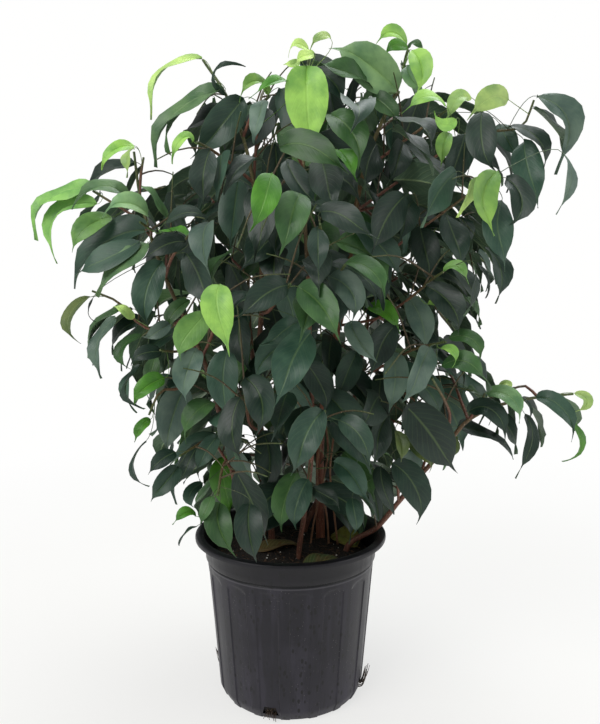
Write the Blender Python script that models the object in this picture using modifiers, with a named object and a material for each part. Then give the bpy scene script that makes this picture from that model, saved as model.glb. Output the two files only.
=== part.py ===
# A weeping fig bush in a black nursery pot, modelled in metres with +Z up.
# The origin is the middle of the pot's foot, on the surface that the pot stands on.

import math
import random

import bmesh
import bpy
from mathutils import Matrix, Vector
from mathutils.bvhtree import BVHTree

# Pot
POT_HEIGHT = 0.240
LIP_RADIUS = 0.142
LIP_DEPTH = 0.007
LIP_WIDTH = 0.013
LIP_EDGE = 0.001
COLLAR_TOP_RADIUS = 0.1285
COLLAR_FOOT_RADIUS = 0.1265
COLLAR_FOOT_HEIGHT = 0.205
COLLAR_STEP = 0.003
WALL_TOP_RADIUS = 0.1240
WALL_FOOT_RADIUS = 0.1080
WALL_FOOT_HEIGHT = 0.013
BASE_RADIUS = 0.1015
BASE_RING = 0.012
BASE_RECESS = 0.002
BASE_MIDDLE_RADIUS = 0.058
BASE_STEP = 0.003
POT_WALL = 0.0020
FLUTES = 16
FLUTE_DEPTH = 0.0014
FLUTE_TOP_HEIGHT = 0.190
STEPS_PER_FLUTE = 4
NOTCHES = 4
FIRST_NOTCH_DEG = -105.0
NOTCH_WIDTH = 0.024
NOTCH_HEIGHT = 0.020
NOTCH_FOOT = 0.0075
NOTCH_REACH = 0.030
NOTCH_TAPER = 0.7

# Soil and root ball
FIT_GAP = 0.0003
SOIL_TOP = 0.205
SOIL_CROWN = 0.004
SOIL_LUMP = 0.0016
SOIL_STEPS = 28
STEM_DEPTH = 0.050
ROOTS_PER_TUFT = 3
ROOT_START_RADIUS = 0.096
ROOT_START_HEIGHT = 0.0125
ROOT_LENGTH = 0.024
ROOT_RADIUS = 0.0016

# Leaf blades and their stalks
LEAF_LENGTH = 0.104
LEAF_WIDTH_RATIO = 0.47
BLADE_THICKNESS = 0.0008
STALK_LENGTH = 0.015
SHORTEST_STALK = 0.009
LONGEST_BENT_STALK = 0.058
STRAIGHT_STALK_COSINE = 0.4
SHARPEST_STALK_COSINE = -0.1
DEPTH_BEFORE_SHOOT = 0.006
STALK_HALF_WIDTH = 0.0006
WIDEST_AT = 0.42
OVAL_TO = 0.90
OVAL_POWER = 0.75
DRIP_WIDTH = 0.08
FOLD_DEG = 14.0
CLEARANCE = 0.0012
ROOT_CLEAR = 0.004
ROOT_SINK = 0.0005
POT_KEEP_OFF = 0.004
LINE_OF_SIGHT_SHIFTS = [hand * 0.001 * i ** 1.6 for i in range(1, 19) for hand in (1, -1)]
BLADE_SAMPLES = [(0.15, 0), (0.35, -0.9), (0.35, 0.9), (0.4, 0), (0.65, -0.7), (0.65, 0.7), (0.9, 0)]
FULL_ROWS = (0.18, 0.46, 0.80)
PLAIN_ROWS = (0.27, 0.64)
RIBBED_TO = 0.60
FULL_FROM_LENGTH = 0.084
FULL_TO_TURN = 22

# Leaves that a rule sets on all the wood, where the crown has room
FIRST_LEAF_SEED = 100
STEM_BARE_SHARE = 0.36
STEPS_PER_RULE_LEAF = 2
RULE_ATTEMPTS = 12
RULE_LEAVES_FROM = 0.60
RULE_LEAF_MIDDLE = 0.45
RULE_SIZE = (0.78, 1.08)
RULE_DROOP = (0.45, 1.15)

# Wood
NODE_SPACING = 0.036
SHOOT_RADIUS = 0.0023
SHOOT_TIP_RADIUS = 0.0016
STEM_TIP_RADIUS = 0.0018
STEM_SIDES = 5
SHOOT_SIDES = 3
ROOT_SIDES = 3

# The crown as a shape of revolution, for the shoots behind that the picture hides
CROWN_MIDDLE = Vector((0.025, 0.030, 0.600))
CROWN_RADIUS = 0.300
CROWN_HALF_HEIGHT = 0.375

# The picture's view, in its pixels and in metres, in which the places below are read
PHOTO_FOCAL_PX = 720.0
PHOTO_CENTRE_PX = (300.0, 362.0)
CAMERA_AT = Vector((0.014, -1.048, 0.607))
CAMERA_PITCH = 0.1085

# The crown's outline in the picture, which the leaves that a rule sets stay inside
CROWN_OUTLINE_PX = [
    (150, 95), (160, 66), (205, 58), (240, 60), (286, 42), (330, 40), (362, 46), (392, 30), (418, 44),
    (434, 66), (440, 92), (502, 92), (535, 96), (574, 118), (573, 190), (548, 208), (512, 232), (514, 268),
    (492, 298), (486, 320), (488, 384), (570, 396), (588, 402), (582, 460), (512, 470), (478, 440),
    (452, 474), (428, 520), (392, 520), (384, 548), (200, 548), (180, 520), (148, 500), (142, 440),
    (132, 400), (120, 372), (96, 372), (64, 338), (62, 300), (84, 290), (42, 262), (24, 232), (54, 190),
    (98, 168), (98, 148), (134, 144), (160, 180), (150, 150),
]

# Each leafy stem: its foot in the soil (x, y), its radius there, and the picture points that it
# passes, each with its depth y
STEMS = {
    "leafy_stem_left": (
        (-0.066, 0.000),
        0.0050,
        [(226, 440, -0.020), (200, 350, -0.045), (174, 300, -0.055), (158, 255, -0.055),
         (146, 222, -0.045), (138, 185, -0.040), (134, 152, -0.030)],
    ),
    "leafy_stem_tall_left": (
        (-0.030, 0.040),
        0.0056,
        [(262, 445, 0.010), (258, 370, -0.005), (262, 290, -0.030), (256, 200, -0.055),
         (241, 130, -0.070), (226, 95, -0.065), (203, 60, -0.050)],
    ),
    "leafy_stem_slim": (
        (0.012, -0.030),
        0.0040,
        [(312, 450, -0.050), (310, 353, -0.080), (308, 280, -0.095), (304, 200, -0.110),
         (304, 120, -0.110), (309, 54, -0.085)],
    ),
    "leafy_stem_main": (
        (0.046, 0.055),
        0.0075,
        [(320, 450, 0.050), (324, 400, 0.040), (332, 350, 0.025), (345, 300, 0.010),
         (354, 220, -0.020), (370, 150, -0.040), (394, 98, -0.050), (408, 50, -0.045)],
    ),
    "leafy_stem_low_right": (
        (0.085, 0.000),
        0.0048,
        [(381, 524, -0.010), (400, 500, -0.020), (427, 468, -0.040), (450, 442, -0.050),
         (475, 415, -0.055), (520, 400, -0.045), (573, 394, -0.030)],
    ),
    "leafy_stem_back_left": (
        (-0.045, 0.072),
        0.0052,
        [(262, 440, 0.100), (250, 330, 0.130), (246, 230, 0.140), (232, 165, 0.120)],
    ),
    "leafy_stem_back_right": (
        (0.022, 0.088),
        0.0055,
        [(345, 440, 0.110), (366, 330, 0.140), (380, 230, 0.140), (400, 150, 0.110)],
    ),
}

# The leaves that the picture shows on the stems themselves
STEM_LEAVES = {
    "leafy_stem_left": [
        ((135, 146), (114, 150), (98, 168), 38),
        ((134, 148), (127, 158), (130, 175), 50),
    ],
    "leafy_stem_tall_left": [
        ((202, 59), (162, 72), (150, 119), 70),
        ((226, 96), (215, 72), (243, 56), 66),
        ((224, 91), (176, 113), (147, 165), 58),
        ((243, 99), (221, 126), (192, 162), 3),
    ],
    "leafy_stem_slim": [
        ((307, 66), (307, 104), (311, 160), 0),
        ((331, 39), (321, 36), (309, 48), 45),
        ((309, 50), (299, 44), (287, 43), 40),
        ((314, 53), (304, 56), (293, 60), 25),
        ((300, 61), (292, 64), (284, 62), 20),
    ],
    "leafy_stem_main": [
        ((407, 45), (392, 32), (376, 43), 40),
        ((412, 50), (422, 68), (420, 94), 4),
        ((408, 48), (416, 43), (424, 54), 45),
    ],
}

# Each side shoot in the picture: its stem, where it leaves it, the points on its way, the depth of its
# tip, and the leaves that show on it. A leaf is the base, middle and tip of its midrib, and the degrees
# that its blade is turned from facing the viewer.
SHOOTS = [
    ("leafy_stem_left", (146, 222), [(128, 211), (108, 201), (93, 191)], -0.030, [
        ((94, 190), (53, 196), (24, 235), 62),
        ((126, 202), (104, 186), (66, 206), 52),
        ((97, 204), (58, 214), (46, 264), 60),
        ((112, 217), (86, 228), (70, 252), 30),
    ]),
    ("leafy_stem_left", (152, 238), [(151, 232), (149, 228), (140, 222)], -0.110, [
        ((150, 231), (105, 243), (66, 289), 50),
        ((148, 243), (122, 262), (92, 291), 45),
        ((148, 216), (128, 203), (98, 209), 42),
        ((166, 218), (155, 197), (140, 186), 56),
    ]),
    ("leafy_stem_left", (178, 308), [(165, 330), (147, 332), (121, 304), (92, 291)], -0.070, [
        ((90, 297), (70, 315), (69, 346), 55),
        ((94, 296), (89, 308), (88, 322), 70),
        ((116, 318), (98, 342), (97, 380), 50),
        ((134, 318), (125, 311), (113, 304), 30),
        ((142, 335), (121, 349), (123, 374), 45),
    ]),
    ("leafy_stem_left", (196, 342), [(185, 350), (172, 352), (160, 350)], -0.130, [
        ((162, 352), (145, 353), (127, 361), 20),
        ((155, 356), (151, 373), (147, 391), 12),
        ((140, 366), (126, 386), (133, 415), 68),
        ((165, 378), (146, 387), (130, 404), 22),
        ((170, 324), (157, 332), (144, 342), 10),
    ]),
    ("leafy_stem_left", (166, 278), [(170, 262), (178, 248), (192, 232)], -0.150, [
        ((162, 262), (146, 292), (146, 329), 6),
        ((186, 242), (165, 245), (141, 262), 22),
        ((160, 233), (178, 231), (200, 248), 66),
        ((210, 222), (203, 240), (208, 277), 30),
        ((166, 222), (186, 213), (208, 215), 50),
        ((190, 300), (173, 314), (168, 329), 28),
    ]),
    ("leafy_stem_left", (206, 372), [(190, 392), (172, 384), (160, 392), (149, 415)], -0.100, [
        ((150, 420), (141, 427), (134, 444), 25),
        ((146, 441), (133, 466), (143, 492), 72),
        ((186, 386), (173, 416), (163, 460), 8),
        ((213, 402), (195, 413), (176, 441), 30),
    ]),
    ("leafy_stem_left", (228, 455), [(212, 440), (196, 446), (180, 456)], -0.130, [
        ((176, 452), (161, 460), (146, 475), 12),
        ((178, 467), (165, 483), (147, 503), 5),
        ((218, 436), (205, 453), (198, 473), 4),
        ((197, 447), (188, 464), (180, 487), 20),
        ((203, 483), (190, 494), (190, 512), 20),
    ]),
    ("leafy_stem_left", (232, 480), [(226, 462), (222, 470), (218, 495)], -0.185, [
        ((226, 456), (224, 484), (236, 518), 5),
        ((220, 503), (219, 527), (237, 559), 0),
        ((250, 503), (249, 532), (258, 566), 0),
        ((212, 496), (206, 510), (198, 525), 25),
        ((196, 516), (185, 513), (171, 526), 35),
        ((197, 526), (186, 533), (175, 547), 70),
    ]),
    ("leafy_stem_left", (204, 360), [(212, 335), (216, 310), (219, 286)], -0.210, [
        ((220, 284), (218, 312), (235, 354), 0),
        ((208, 312), (188, 334), (173, 358), 10),
        ((197, 348), (187, 372), (180, 404), 18),
        ((228, 350), (223, 382), (229, 422), 10),
    ]),
    ("leafy_stem_tall_left", (250, 170), [(224, 158), (208, 148), (197, 142)], -0.150, [
        ((194, 142), (182, 139), (168, 162), 45),
        ((210, 150), (203, 178), (206, 205), 12),
        ((238, 182), (234, 214), (230, 249), 28),
    ]),
    ("leafy_stem_tall_left", (241, 130), [(250, 118), (260, 106), (270, 96)], -0.110, [
        ((268, 95), (256, 81), (233, 95), 48),
        ((290, 84), (274, 82), (250, 99), 60),
        ((262, 100), (259, 118), (250, 141), 40),
        ((266, 108), (254, 132), (222, 156), 15),
    ]),
    ("leafy_stem_tall_left", (257, 215), [(262, 205), (267, 190), (272, 174)], -0.230, [
        ((272, 173), (265, 198), (254, 233), 0),
        ((250, 190), (262, 222), (252, 262), 24),
    ]),
    ("leafy_stem_tall_left", (260, 330), [(268, 312), (279, 298), (290, 284)], -0.215, [
        ((288, 285), (263, 296), (240, 320), 10),
        ((298, 322), (281, 333), (264, 350), 8),
        ((240, 318), (240, 344), (250, 372), 20),
    ]),
    ("leafy_stem_tall_left", (262, 445), [(250, 425), (246, 404), (244, 380)], -0.180, [
        ((246, 378), (262, 402), (258, 440), 12),
        ((240, 398), (232, 428), (240, 462), 25),
        ((262, 430), (270, 462), (262, 498), 15),
    ]),
    ("leafy_stem_slim", (304, 170), [(300, 158), (290, 150), (281, 144)], -0.200, [
        ((280, 147), (312, 147), (346, 176), 20),
        ((338, 150), (348, 160), (355, 181), 30),
        ((286, 160), (300, 186), (318, 204), 30),
    ]),
    ("leafy_stem_slim", (308, 290), [(322, 262), (322, 240), (320, 224)], -0.250, [
        ((320, 212), (345, 217), (372, 244), 15),
        ((318, 228), (318, 249), (318, 274), 2),
        ((310, 268), (297, 276), (291, 292), 20),
    ]),
    ("leafy_stem_slim", (309, 330), [(322, 305), (334, 282), (345, 265)], -0.220, [
        ((346, 263), (371, 270), (389, 301), 40),
        ((328, 276), (352, 293), (355, 324), 5),
        ((350, 321), (360, 343), (378, 362), 25),
    ]),
    ("leafy_stem_slim", (312, 450), [(316, 436), (322, 424), (325, 411)], -0.200, [
        ((323, 411), (304, 440), (298, 480), 0),
        ((338, 420), (360, 436), (371, 468), 10),
        ((334, 462), (353, 477), (367, 509), 5),
        ((308, 479), (297, 503), (292, 533), 6),
        ((312, 488), (328, 497), (343, 505), 20),
    ]),
    ("leafy_stem_main", (394, 98), [(397, 96), (398, 94), (399, 92)], -0.090, [
        ((398, 92), (368, 64), (331, 40), 0),
        ((374, 88), (346, 72), (311, 63), 56),
        ((407, 66), (412, 79), (426, 93), 10),
        ((372, 96), (386, 106), (402, 124), 30),
    ]),
    ("leafy_stem_main", (360, 190), [(392, 150), (422, 128), (447, 110)], -0.090, [
        ((446, 106), (427, 96), (406, 112), 52),
        ((449, 133), (443, 147), (444, 166), 0),
        ((456, 119), (443, 125), (431, 112), 35),
        ((404, 142), (398, 160), (392, 186), 20),
    ]),
    ("leafy_stem_main", (358, 205), [(430, 160), (480, 134), (520, 128), (534, 100)], -0.070, [
        ((537, 96), (568, 122), (556, 172), 44),
        ((561, 152), (570, 180), (555, 210), 60),
        ((509, 127), (537, 138), (552, 176), 55),
        ((524, 141), (529, 172), (543, 207), 5),
        ((509, 100), (490, 98), (468, 119), 12),
        ((472, 98), (456, 100), (451, 124), 18),
        ((482, 112), (482, 143), (491, 173), 0),
        ((500, 124), (508, 141), (520, 160), 12),
    ]),
    ("leafy_stem_main", (346, 295), [(392, 250), (440, 215), (480, 186), (496, 174)], -0.140, [
        ((497, 171), (483, 200), (499, 232), 32),
        ((480, 178), (468, 196), (464, 216), 55),
        ((506, 178), (522, 201), (511, 231), 20),
        ((502, 200), (498, 232), (513, 268), 12),
        ((486, 246), (501, 271), (498, 303), 42),
        ((477, 262), (487, 279), (490, 298), 62),
        ((446, 214), (456, 242), (466, 268), 25),
        ((420, 226), (426, 254), (434, 284), 14),
    ]),
    ("leafy_stem_main", (336, 335), [(378, 318), (410, 298), (430, 281), (443, 272)], -0.170, [
        ((443, 271), (458, 267), (470, 284), 42),
        ((428, 304), (443, 302), (456, 319), 40),
        ((408, 297), (422, 322), (424, 352), 6),
        ((367, 305), (386, 312), (403, 334), 32),
        ((426, 286), (450, 304), (462, 334), 16),
        ((474, 264), (475, 291), (466, 316), 64),
    ]),
    ("leafy_stem_main", (324, 400), [(372, 372), (412, 350), (446, 342)], -0.150, [
        ((449, 338), (472, 339), (486, 362), 40),
        ((441, 366), (467, 362), (487, 386), 20),
        ((441, 348), (452, 350), (462, 365), 40),
        ((430, 347), (418, 373), (410, 404), 40),
        ((393, 352), (395, 381), (388, 413), 12),
        ((357, 352), (346, 376), (337, 402), 20),
    ]),
    ("leafy_stem_low_right", (400, 500), [(398, 488), (395, 476), (392, 463)], -0.080, [
        ((393, 463), (417, 485), (423, 532), 14),
        ((381, 466), (384, 490), (398, 516), 35),
        ((352, 498), (355, 516), (360, 536), 15),
    ]),
    ("leafy_stem_low_right", (436, 458), [(424, 436), (414, 420), (406, 406)], -0.120, [
        ((405, 405), (433, 438), (456, 479), 12),
        ((396, 430), (402, 446), (400, 462), 25),
        ((408, 441), (424, 452), (438, 469), 30),
        ((440, 430), (453, 446), (450, 459), 25),
    ]),
    ("leafy_stem_low_right", (454, 438), [(450, 416), (442, 396), (432, 378)], -0.150, [
        ((432, 376), (452, 412), (477, 454), 0),
    ]),
    ("leafy_stem_low_right", (475, 415), [(479, 406), (482, 399), (485, 393)], -0.075, [
        ((468, 412), (492, 410), (512, 443), 22),
        ((486, 393), (510, 397), (525, 424), 35),
        ((525, 414), (532, 442), (513, 477), 30),
        ((499, 388), (507, 383), (516, 391), 40),
        ((518, 399), (528, 403), (534, 424), 62),
        ((536, 397), (561, 407), (581, 441), 25),
        ((570, 418), (581, 442), (572, 468), 60),
        ((574, 393), (587, 401), (578, 417), 35),
    ]),
]

# Shoots on the hidden side: how many each stem has, the bearing in degrees that they spread round, how
# far they spread to each side of it, and the heights of the lowest and the highest tip
HIDDEN_SHOOTS = {
    "leafy_stem_left": (4, 168.0, 34.0, (0.32, 0.86)),
    "leafy_stem_main": (4, 12.0, 30.0, (0.32, 0.86)),
    "leafy_stem_low_right": (3, 30.0, 24.0, (0.34, 0.52)),
    "leafy_stem_back_left": (11, 126.0, 56.0, (0.32, 0.86)),
    "leafy_stem_back_right": (11, 54.0, 56.0, (0.32, 0.86)),
}
# Shoots to the places that all the others leave bare: the stem, where on it they start, and their tip
EDGE_SHOOTS = [
    ("leafy_stem_tall_left", 0.80, Vector((-0.035, 0.010, 0.885))),
    ("leafy_stem_main", 0.78, Vector((0.115, 0.045, 0.880))),
    ("leafy_stem_back_left", 0.95, Vector((-0.020, 0.085, 0.850))),
    ("leafy_stem_back_right", 0.95, Vector((0.060, 0.060, 0.870))),
    ("leafy_stem_back_left", 0.90, Vector((-0.020, 0.190, 0.840))),
    ("leafy_stem_back_right", 0.90, Vector((0.090, 0.190, 0.850))),
    ("leafy_stem_back_left", 0.25, Vector((-0.130, 0.130, 0.270))),
    ("leafy_stem_back_right", 0.25, Vector((0.160, 0.110, 0.280))),
    ("leafy_stem_back_left", 0.20, Vector((0.010, 0.200, 0.280))),
]
HIDDEN_SEED = 11
GOLDEN_SHARE = 0.618
HIDDEN_STEM_SHARES = (0.30, 0.97)
HIDDEN_REACH = 0.86
HIDDEN_ARCH = 0.22
SHORTEST_ARCH = 0.05
OUTLINE_STEP = 0.92

# Fallen leaves on the soil: the middle of each, its bearing in degrees, and where its upper face looks
FALLEN_LEAVES = [
    (Vector((-0.014, 0.008, 0.2122)), 25.0, Vector((0.0, 0.0, 1.0))),
    (Vector((0.050, -0.048, 0.2105)), 40.0, Vector((0.1, -0.1, 1.0))),
    (Vector((0.082, 0.050, 0.2112)), 118.0, Vector((-0.4, -0.2, 1.0))),
]
FALLEN_SIZE = 0.8
FALLEN_SAG = 0.003

POT_COLOUR = (0.030, 0.030, 0.033, 1.0)
SOIL_COLOUR = (0.030, 0.022, 0.016, 1.0)
FOLIAGE_COLOUR = (0.060, 0.140, 0.060, 1.0)
FALLEN_COLOUR = (0.160, 0.150, 0.045, 1.0)


# Places and directions

def picture_point(pixel, depth):
    """The point that the picture shows at a pixel, in the upright plane y = depth."""
    right = (pixel[0] - PHOTO_CENTRE_PX[0]) / PHOTO_FOCAL_PX
    up = (PHOTO_CENTRE_PX[1] - pixel[1]) / PHOTO_FOCAL_PX
    ahead = math.cos(CAMERA_PITCH) + up * math.sin(CAMERA_PITCH)
    rise = up * math.cos(CAMERA_PITCH) - math.sin(CAMERA_PITCH)
    reach = (depth - CAMERA_AT.y) / ahead
    return CAMERA_AT + Vector((right, ahead, rise)) * reach


def pixel_of(point):
    """The pixel at which the picture shows a point."""
    away = point - CAMERA_AT
    ahead = away.y * math.cos(CAMERA_PITCH) - away.z * math.sin(CAMERA_PITCH)
    rise = away.y * math.sin(CAMERA_PITCH) + away.z * math.cos(CAMERA_PITCH)
    return Vector((
        PHOTO_CENTRE_PX[0] + PHOTO_FOCAL_PX * away.x / ahead,
        PHOTO_CENTRE_PX[1] - PHOTO_FOCAL_PX * rise / ahead,
    ))


def inside_outline(point):
    """True where the picture shows a point inside the crown's outline."""
    place = pixel_of(point)
    inside = False
    for (x1, y1), (x2, y2) in zip(CROWN_OUTLINE_PX, CROWN_OUTLINE_PX[1:] + CROWN_OUTLINE_PX[:1]):
        if (y1 > place.y) != (y2 > place.y):
            if place.x < x1 + (place.y - y1) * (x2 - x1) / (y2 - y1):
                inside = not inside
    return inside


def across(direction, axis):
    """The part of a direction that is square to an axis, at unit length."""
    along = axis.normalized()
    return (direction - along * direction.dot(along)).normalized()


def between(ends, share):
    return ends[0] + (ends[1] - ends[0]) * share


def crown_reach(height):
    """How far the crown spreads at a height."""
    share = min(1.0, abs(height - CROWN_MIDDLE.z) / CROWN_HALF_HEIGHT)
    return CROWN_RADIUS * math.sqrt(1.0 - share ** 2.5)


def outer_share(point):
    """How near a point is to the crown's outside, from 0 in its middle to 1."""
    away = math.hypot(point.x - CROWN_MIDDLE.x, point.y - CROWN_MIDDLE.y) / CROWN_RADIUS
    high = (point.z - CROWN_MIDDLE.z) / CROWN_HALF_HEIGHT
    return min(1.0, max(away, high))


def smooth_path(points, spacing):
    """A smooth path through the points, cut into equal steps of about the spacing."""
    ends = [points[0] * 2 - points[1]] + points + [points[-1] * 2 - points[-2]]
    fine = [points[0]]
    for before, start, stop, after in zip(ends, ends[1:], ends[2:], ends[3:]):
        for step in range(1, 13):
            t = step / 12
            fine.append(0.5 * (
                2 * start
                + (stop - before) * t
                + (2 * before - 5 * start + 4 * stop - after) * t ** 2
                + (3 * start - before - 3 * stop + after) * t ** 3
            ))
    total = sum((b - a).length for a, b in zip(fine, fine[1:]))
    count = max(2, round(total / spacing))
    path = [fine[0]]
    walked = 0.0
    for start, stop in zip(fine, fine[1:]):
        length = (stop - start).length
        while len(path) < count and walked + length >= total * len(path) / count:
            path.append(start.lerp(stop, (total * len(path) / count - walked) / length))
        walked += length
    return path + [fine[-1]]


# The plan of the crown: wood first, then leaves where they are clear of what is there

class Wood:
    """A stem or a shoot: its path and its radius at each point of it."""

    def __init__(self, stem, path, first_radius, last_radius):
        last = len(path) - 1
        self.stem = stem
        self.path = path
        self.radii = [first_radius + (last_radius - first_radius) * i / last for i in range(last + 1)]
        self.tree = tube_tree(path, self.radii)

    def nearest(self, pixel):
        """The path's point that the picture shows nearest to a pixel."""
        place = Vector(pixel)
        return min(self.path, key=lambda point: (pixel_of(point) - place).length)

    def seats(self):
        """The places where leaves sit, halfway along each step of the path."""
        return [start.lerp(stop, 0.5) for start, stop in zip(self.path, self.path[1:])]


class Leaf:
    """A leaf: its stalk's root on the wood, its midrib's base, middle and tip, and how its blade lies."""

    def __init__(self, stem, root, base, middle, tip, face, width, rows):
        self.stem = stem
        self.root = root
        self.base = base
        self.tip = tip
        self.face = face
        self.width = width
        self.rows = rows
        self.bend = middle * 2 - (base + tip) * 0.5

    def midrib(self, t):
        return self.base * (1 - t) ** 2 + self.bend * (2 * t * (1 - t)) + self.tip * t ** 2

    def axes(self, t):
        """The directions along the midrib, across the blade and out of its upper face."""
        along = ((self.bend - self.base) * (1 - t) + (self.tip - self.bend) * t).normalized()
        side = along.cross(self.face).normalized()
        return along, side, side.cross(along)

    def half_width(self, t):
        """Half of the blade's width: round at its base, then an oval, and last a narrow drip tip."""
        if t < WIDEST_AT:
            rise = 1 - t / WIDEST_AT
            return max(STALK_HALF_WIDTH, 0.5 * self.width * math.sqrt(1 - rise ** 2))
        fall = min(1.0, (t - WIDEST_AT) / (OVAL_TO - WIDEST_AT))
        drip = DRIP_WIDTH * (1 - t) / (1 - OVAL_TO)
        return 0.5 * self.width * max((1 - fall ** 2) ** OVAL_POWER, drip)

    def edge(self, t, hand):
        """The blade's edge at t, on the hand +1 or -1."""
        along, side, up = self.axes(t)
        fold = math.radians(FOLD_DEG)
        reach = self.half_width(t)
        return self.midrib(t) + side * (hand * reach * math.cos(fold)) + up * (reach * math.sin(fold))

    def inside_crown(self):
        """True where the picture shows the leaf, base, tip and edges, inside the crown's outline."""
        ends = [self.base, self.tip, self.edge(WIDEST_AT, 1), self.edge(WIDEST_AT, -1)]
        return all(inside_outline(place) for place in ends)

    def sections(self):
        """The rows of points that the blade is lofted through, from the stalk's root to the tip."""
        side = self.axes(0.0)[1] * STALK_HALF_WIDTH
        sunk = self.root + (self.root - self.base).normalized() * ROOT_SINK
        rows = [[sunk]]
        if self.rows == FULL_ROWS:
            rows = [[sunk - side, sunk + side], [self.base - side, self.base + side]]
        for t in self.rows:
            if t < RIBBED_TO:
                rows.append([self.edge(t, -1), self.midrib(t), self.edge(t, 1)])
            else:
                rows.append([self.edge(t, -1), self.edge(t, 1)])
        rows.append([self.tip])
        return rows

    def faces_between(self):
        """The triangles of the blade, as indices into its points taken row by row."""
        rows = self.sections()
        faces = []
        first = 0
        for row, after in zip(rows, rows[1:]):
            faces += strip(first, len(row), first + len(row), len(after))
            first += len(row)
        return [point for row in rows for point in row], faces

    def grown(self):
        """The blade and its stalk a little thicker than the leaf, for testing what is clear."""
        points, faces = self.faces_between()
        off_root = (self.base - self.root).normalized() * ROOT_CLEAR
        for i in range(len(self.sections()[0])):
            points[i] = points[i] + off_root
        up = self.axes(0.4)[2] * (BLADE_THICKNESS / 2 + CLEARANCE)
        count = len(points)
        both = [point + up for point in points] + [point - up for point in points]
        lower = [[a + count, c + count, b + count] for a, b, c in faces]
        return BVHTree.FromPolygons(both, faces + lower)


def strip(first, count, after, after_count):
    """The triangles between a row of points and the next row, each of one to three points."""
    if count == after_count:
        faces = []
        for i in range(count - 1):
            faces.append([first + i, first + i + 1, after + i + 1])
            faces.append([first + i, after + i + 1, after + i])
        return faces
    if (count, after_count) == (2, 3):
        return [[first, after + 1, after], [first, first + 1, after + 1], [first + 1, after + 2, after + 1]]
    if (count, after_count) == (3, 2):
        return [[first, first + 1, after], [first + 1, after + 1, after], [first + 1, first + 2, after + 1]]
    if count == 1:
        return [[first, after + i + 1, after + i] for i in range(after_count - 1)]
    return [[first + i, first + i + 1, after] for i in range(count - 1)]


def tube_tree(path, radii):
    """A coarse tube round a path, a little fatter than the wood, for testing what is clear."""
    points = []
    faces = []
    for i, (point, radius) in enumerate(zip(path, radii)):
        along = path[min(i + 1, len(path) - 1)] - path[max(i - 1, 0)]
        side = across(Vector((0.37, 0.91, 0.18)), along)
        up = along.normalized().cross(side)
        reach = (radius + CLEARANCE) * 1.25
        points += [point + side * reach, point + up * reach, point - side * reach, point - up * reach]
        if i:
            for k in range(4):
                a = 4 * i + k
                b = 4 * i + (k + 1) % 4
                faces.append([a - 4, b - 4, b, a])
    return BVHTree.FromPolygons(points, faces)


def leaf_meets_pot(leaf):
    """True where a leaf comes too near the pot's wall and lip or the soil."""
    places = [leaf.root.lerp(leaf.base, share) for share in (0.3, 0.6, 1.0)]
    for step in range(1, 13):
        t = step / 12
        places += [leaf.edge(t, -1), leaf.midrib(t), leaf.edge(t, 1)]
    for place in places:
        radius = math.hypot(place.x, place.y)
        inside = radius < LIP_RADIUS - LIP_WIDTH - POT_KEEP_OFF
        if inside and place.z < SOIL_TOP + SOIL_CROWN + POT_KEEP_OFF:
            return True
        if not inside and radius < LIP_RADIUS + POT_KEEP_OFF and place.z < POT_HEIGHT + POT_KEEP_OFF:
            return True
    return False


class Crown:
    """All the wood and leaves, planned in turn so that the stems stay clear of each other."""

    def __init__(self):
        self.wood = []
        self.leaves = []
        self.solid = []
        self.shown = []

    def add_wood(self, stem, points, first_radius, last_radius, spacing, buried=0.0):
        """Adds a stem or a shoot, moved in depth if need be to clear the wood of other stems."""
        for shift in (0.0, -0.012, 0.012, -0.024, 0.024, -0.040, 0.040, -0.060, 0.060):
            last = len(points) - 1
            moved = [point + Vector((0, shift * i / last, 0)) for i, point in enumerate(points)]
            path = smooth_path(moved, spacing)
            if buried:
                path.insert(0, points[0] - Vector((0, 0, 2 * SOIL_CROWN + buried)))
            wood = Wood(stem, path, first_radius, last_radius)
            if not any(other.stem != stem and other.tree.overlap(wood.tree) for other in self.wood):
                break
        self.wood.append(wood)
        return wood

    def clear(self, leaf):
        """True where a leaf touches no wood and no other leaf."""
        tree = leaf.grown()
        reach = LEAF_LENGTH + STALK_LENGTH
        for wood in self.wood:
            if wood.tree.overlap(tree) and (wood.stem != leaf.stem or self.blade_meets(leaf, wood)):
                return False
        if leaf_meets_pot(leaf):
            return False
        middle = leaf.midrib(0.4)
        for other, other_tree in self.solid:
            if (other.midrib(0.4) - middle).length < 2 * reach and other_tree.overlap(tree):
                return False
        return True

    def blade_meets(self, leaf, wood):
        """True where the blade itself, without its stalk, meets wood of its own stem."""
        points, faces = leaf.faces_between()
        if leaf.rows == FULL_ROWS:
            faces = [face for face in faces if min(face) > 1]
        else:
            points[0] = leaf.base
        return bool(wood.tree.overlap(BVHTree.FromPolygons(points, faces)))

    def hides_shown(self, leaf):
        """True where a leaf would stand in the picture in front of one that the picture shows."""
        for t, hand in BLADE_SAMPLES:
            point = leaf.midrib(t) + (leaf.edge(t, 1) - leaf.edge(t, -1)) * (hand / 2)
            place = pixel_of(point)
            for centre, reach, depth in self.shown:
                if point.y < depth and (centre - place).length < reach:
                    return True
        return False

    def add_leaf(self, leaf, shown):
        self.leaves.append(leaf)
        self.solid.append((leaf, leaf.grown()))
        if shown:
            for t in (0.1, 0.25, 0.4, 0.55, 0.7, 0.85):
                place = pixel_of(leaf.midrib(t))
                edge = pixel_of(leaf.edge(t, 1))
                self.shown.append((place, max(4.0, (edge - place).length * 0.95), leaf.midrib(t).y))


def nearest_seat(seats, base, ahead):
    """The seat nearest to a blade's base from which a stalk can run on into the blade, unbent."""
    def bent(seat):
        stalk = base - seat
        too_short = stalk.length < SHORTEST_STALK
        return too_short or stalk.normalized().dot(ahead) < SHARPEST_STALK_COSINE
    return min(seats, key=lambda seat: (bent(seat), (seat - base).length))


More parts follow.
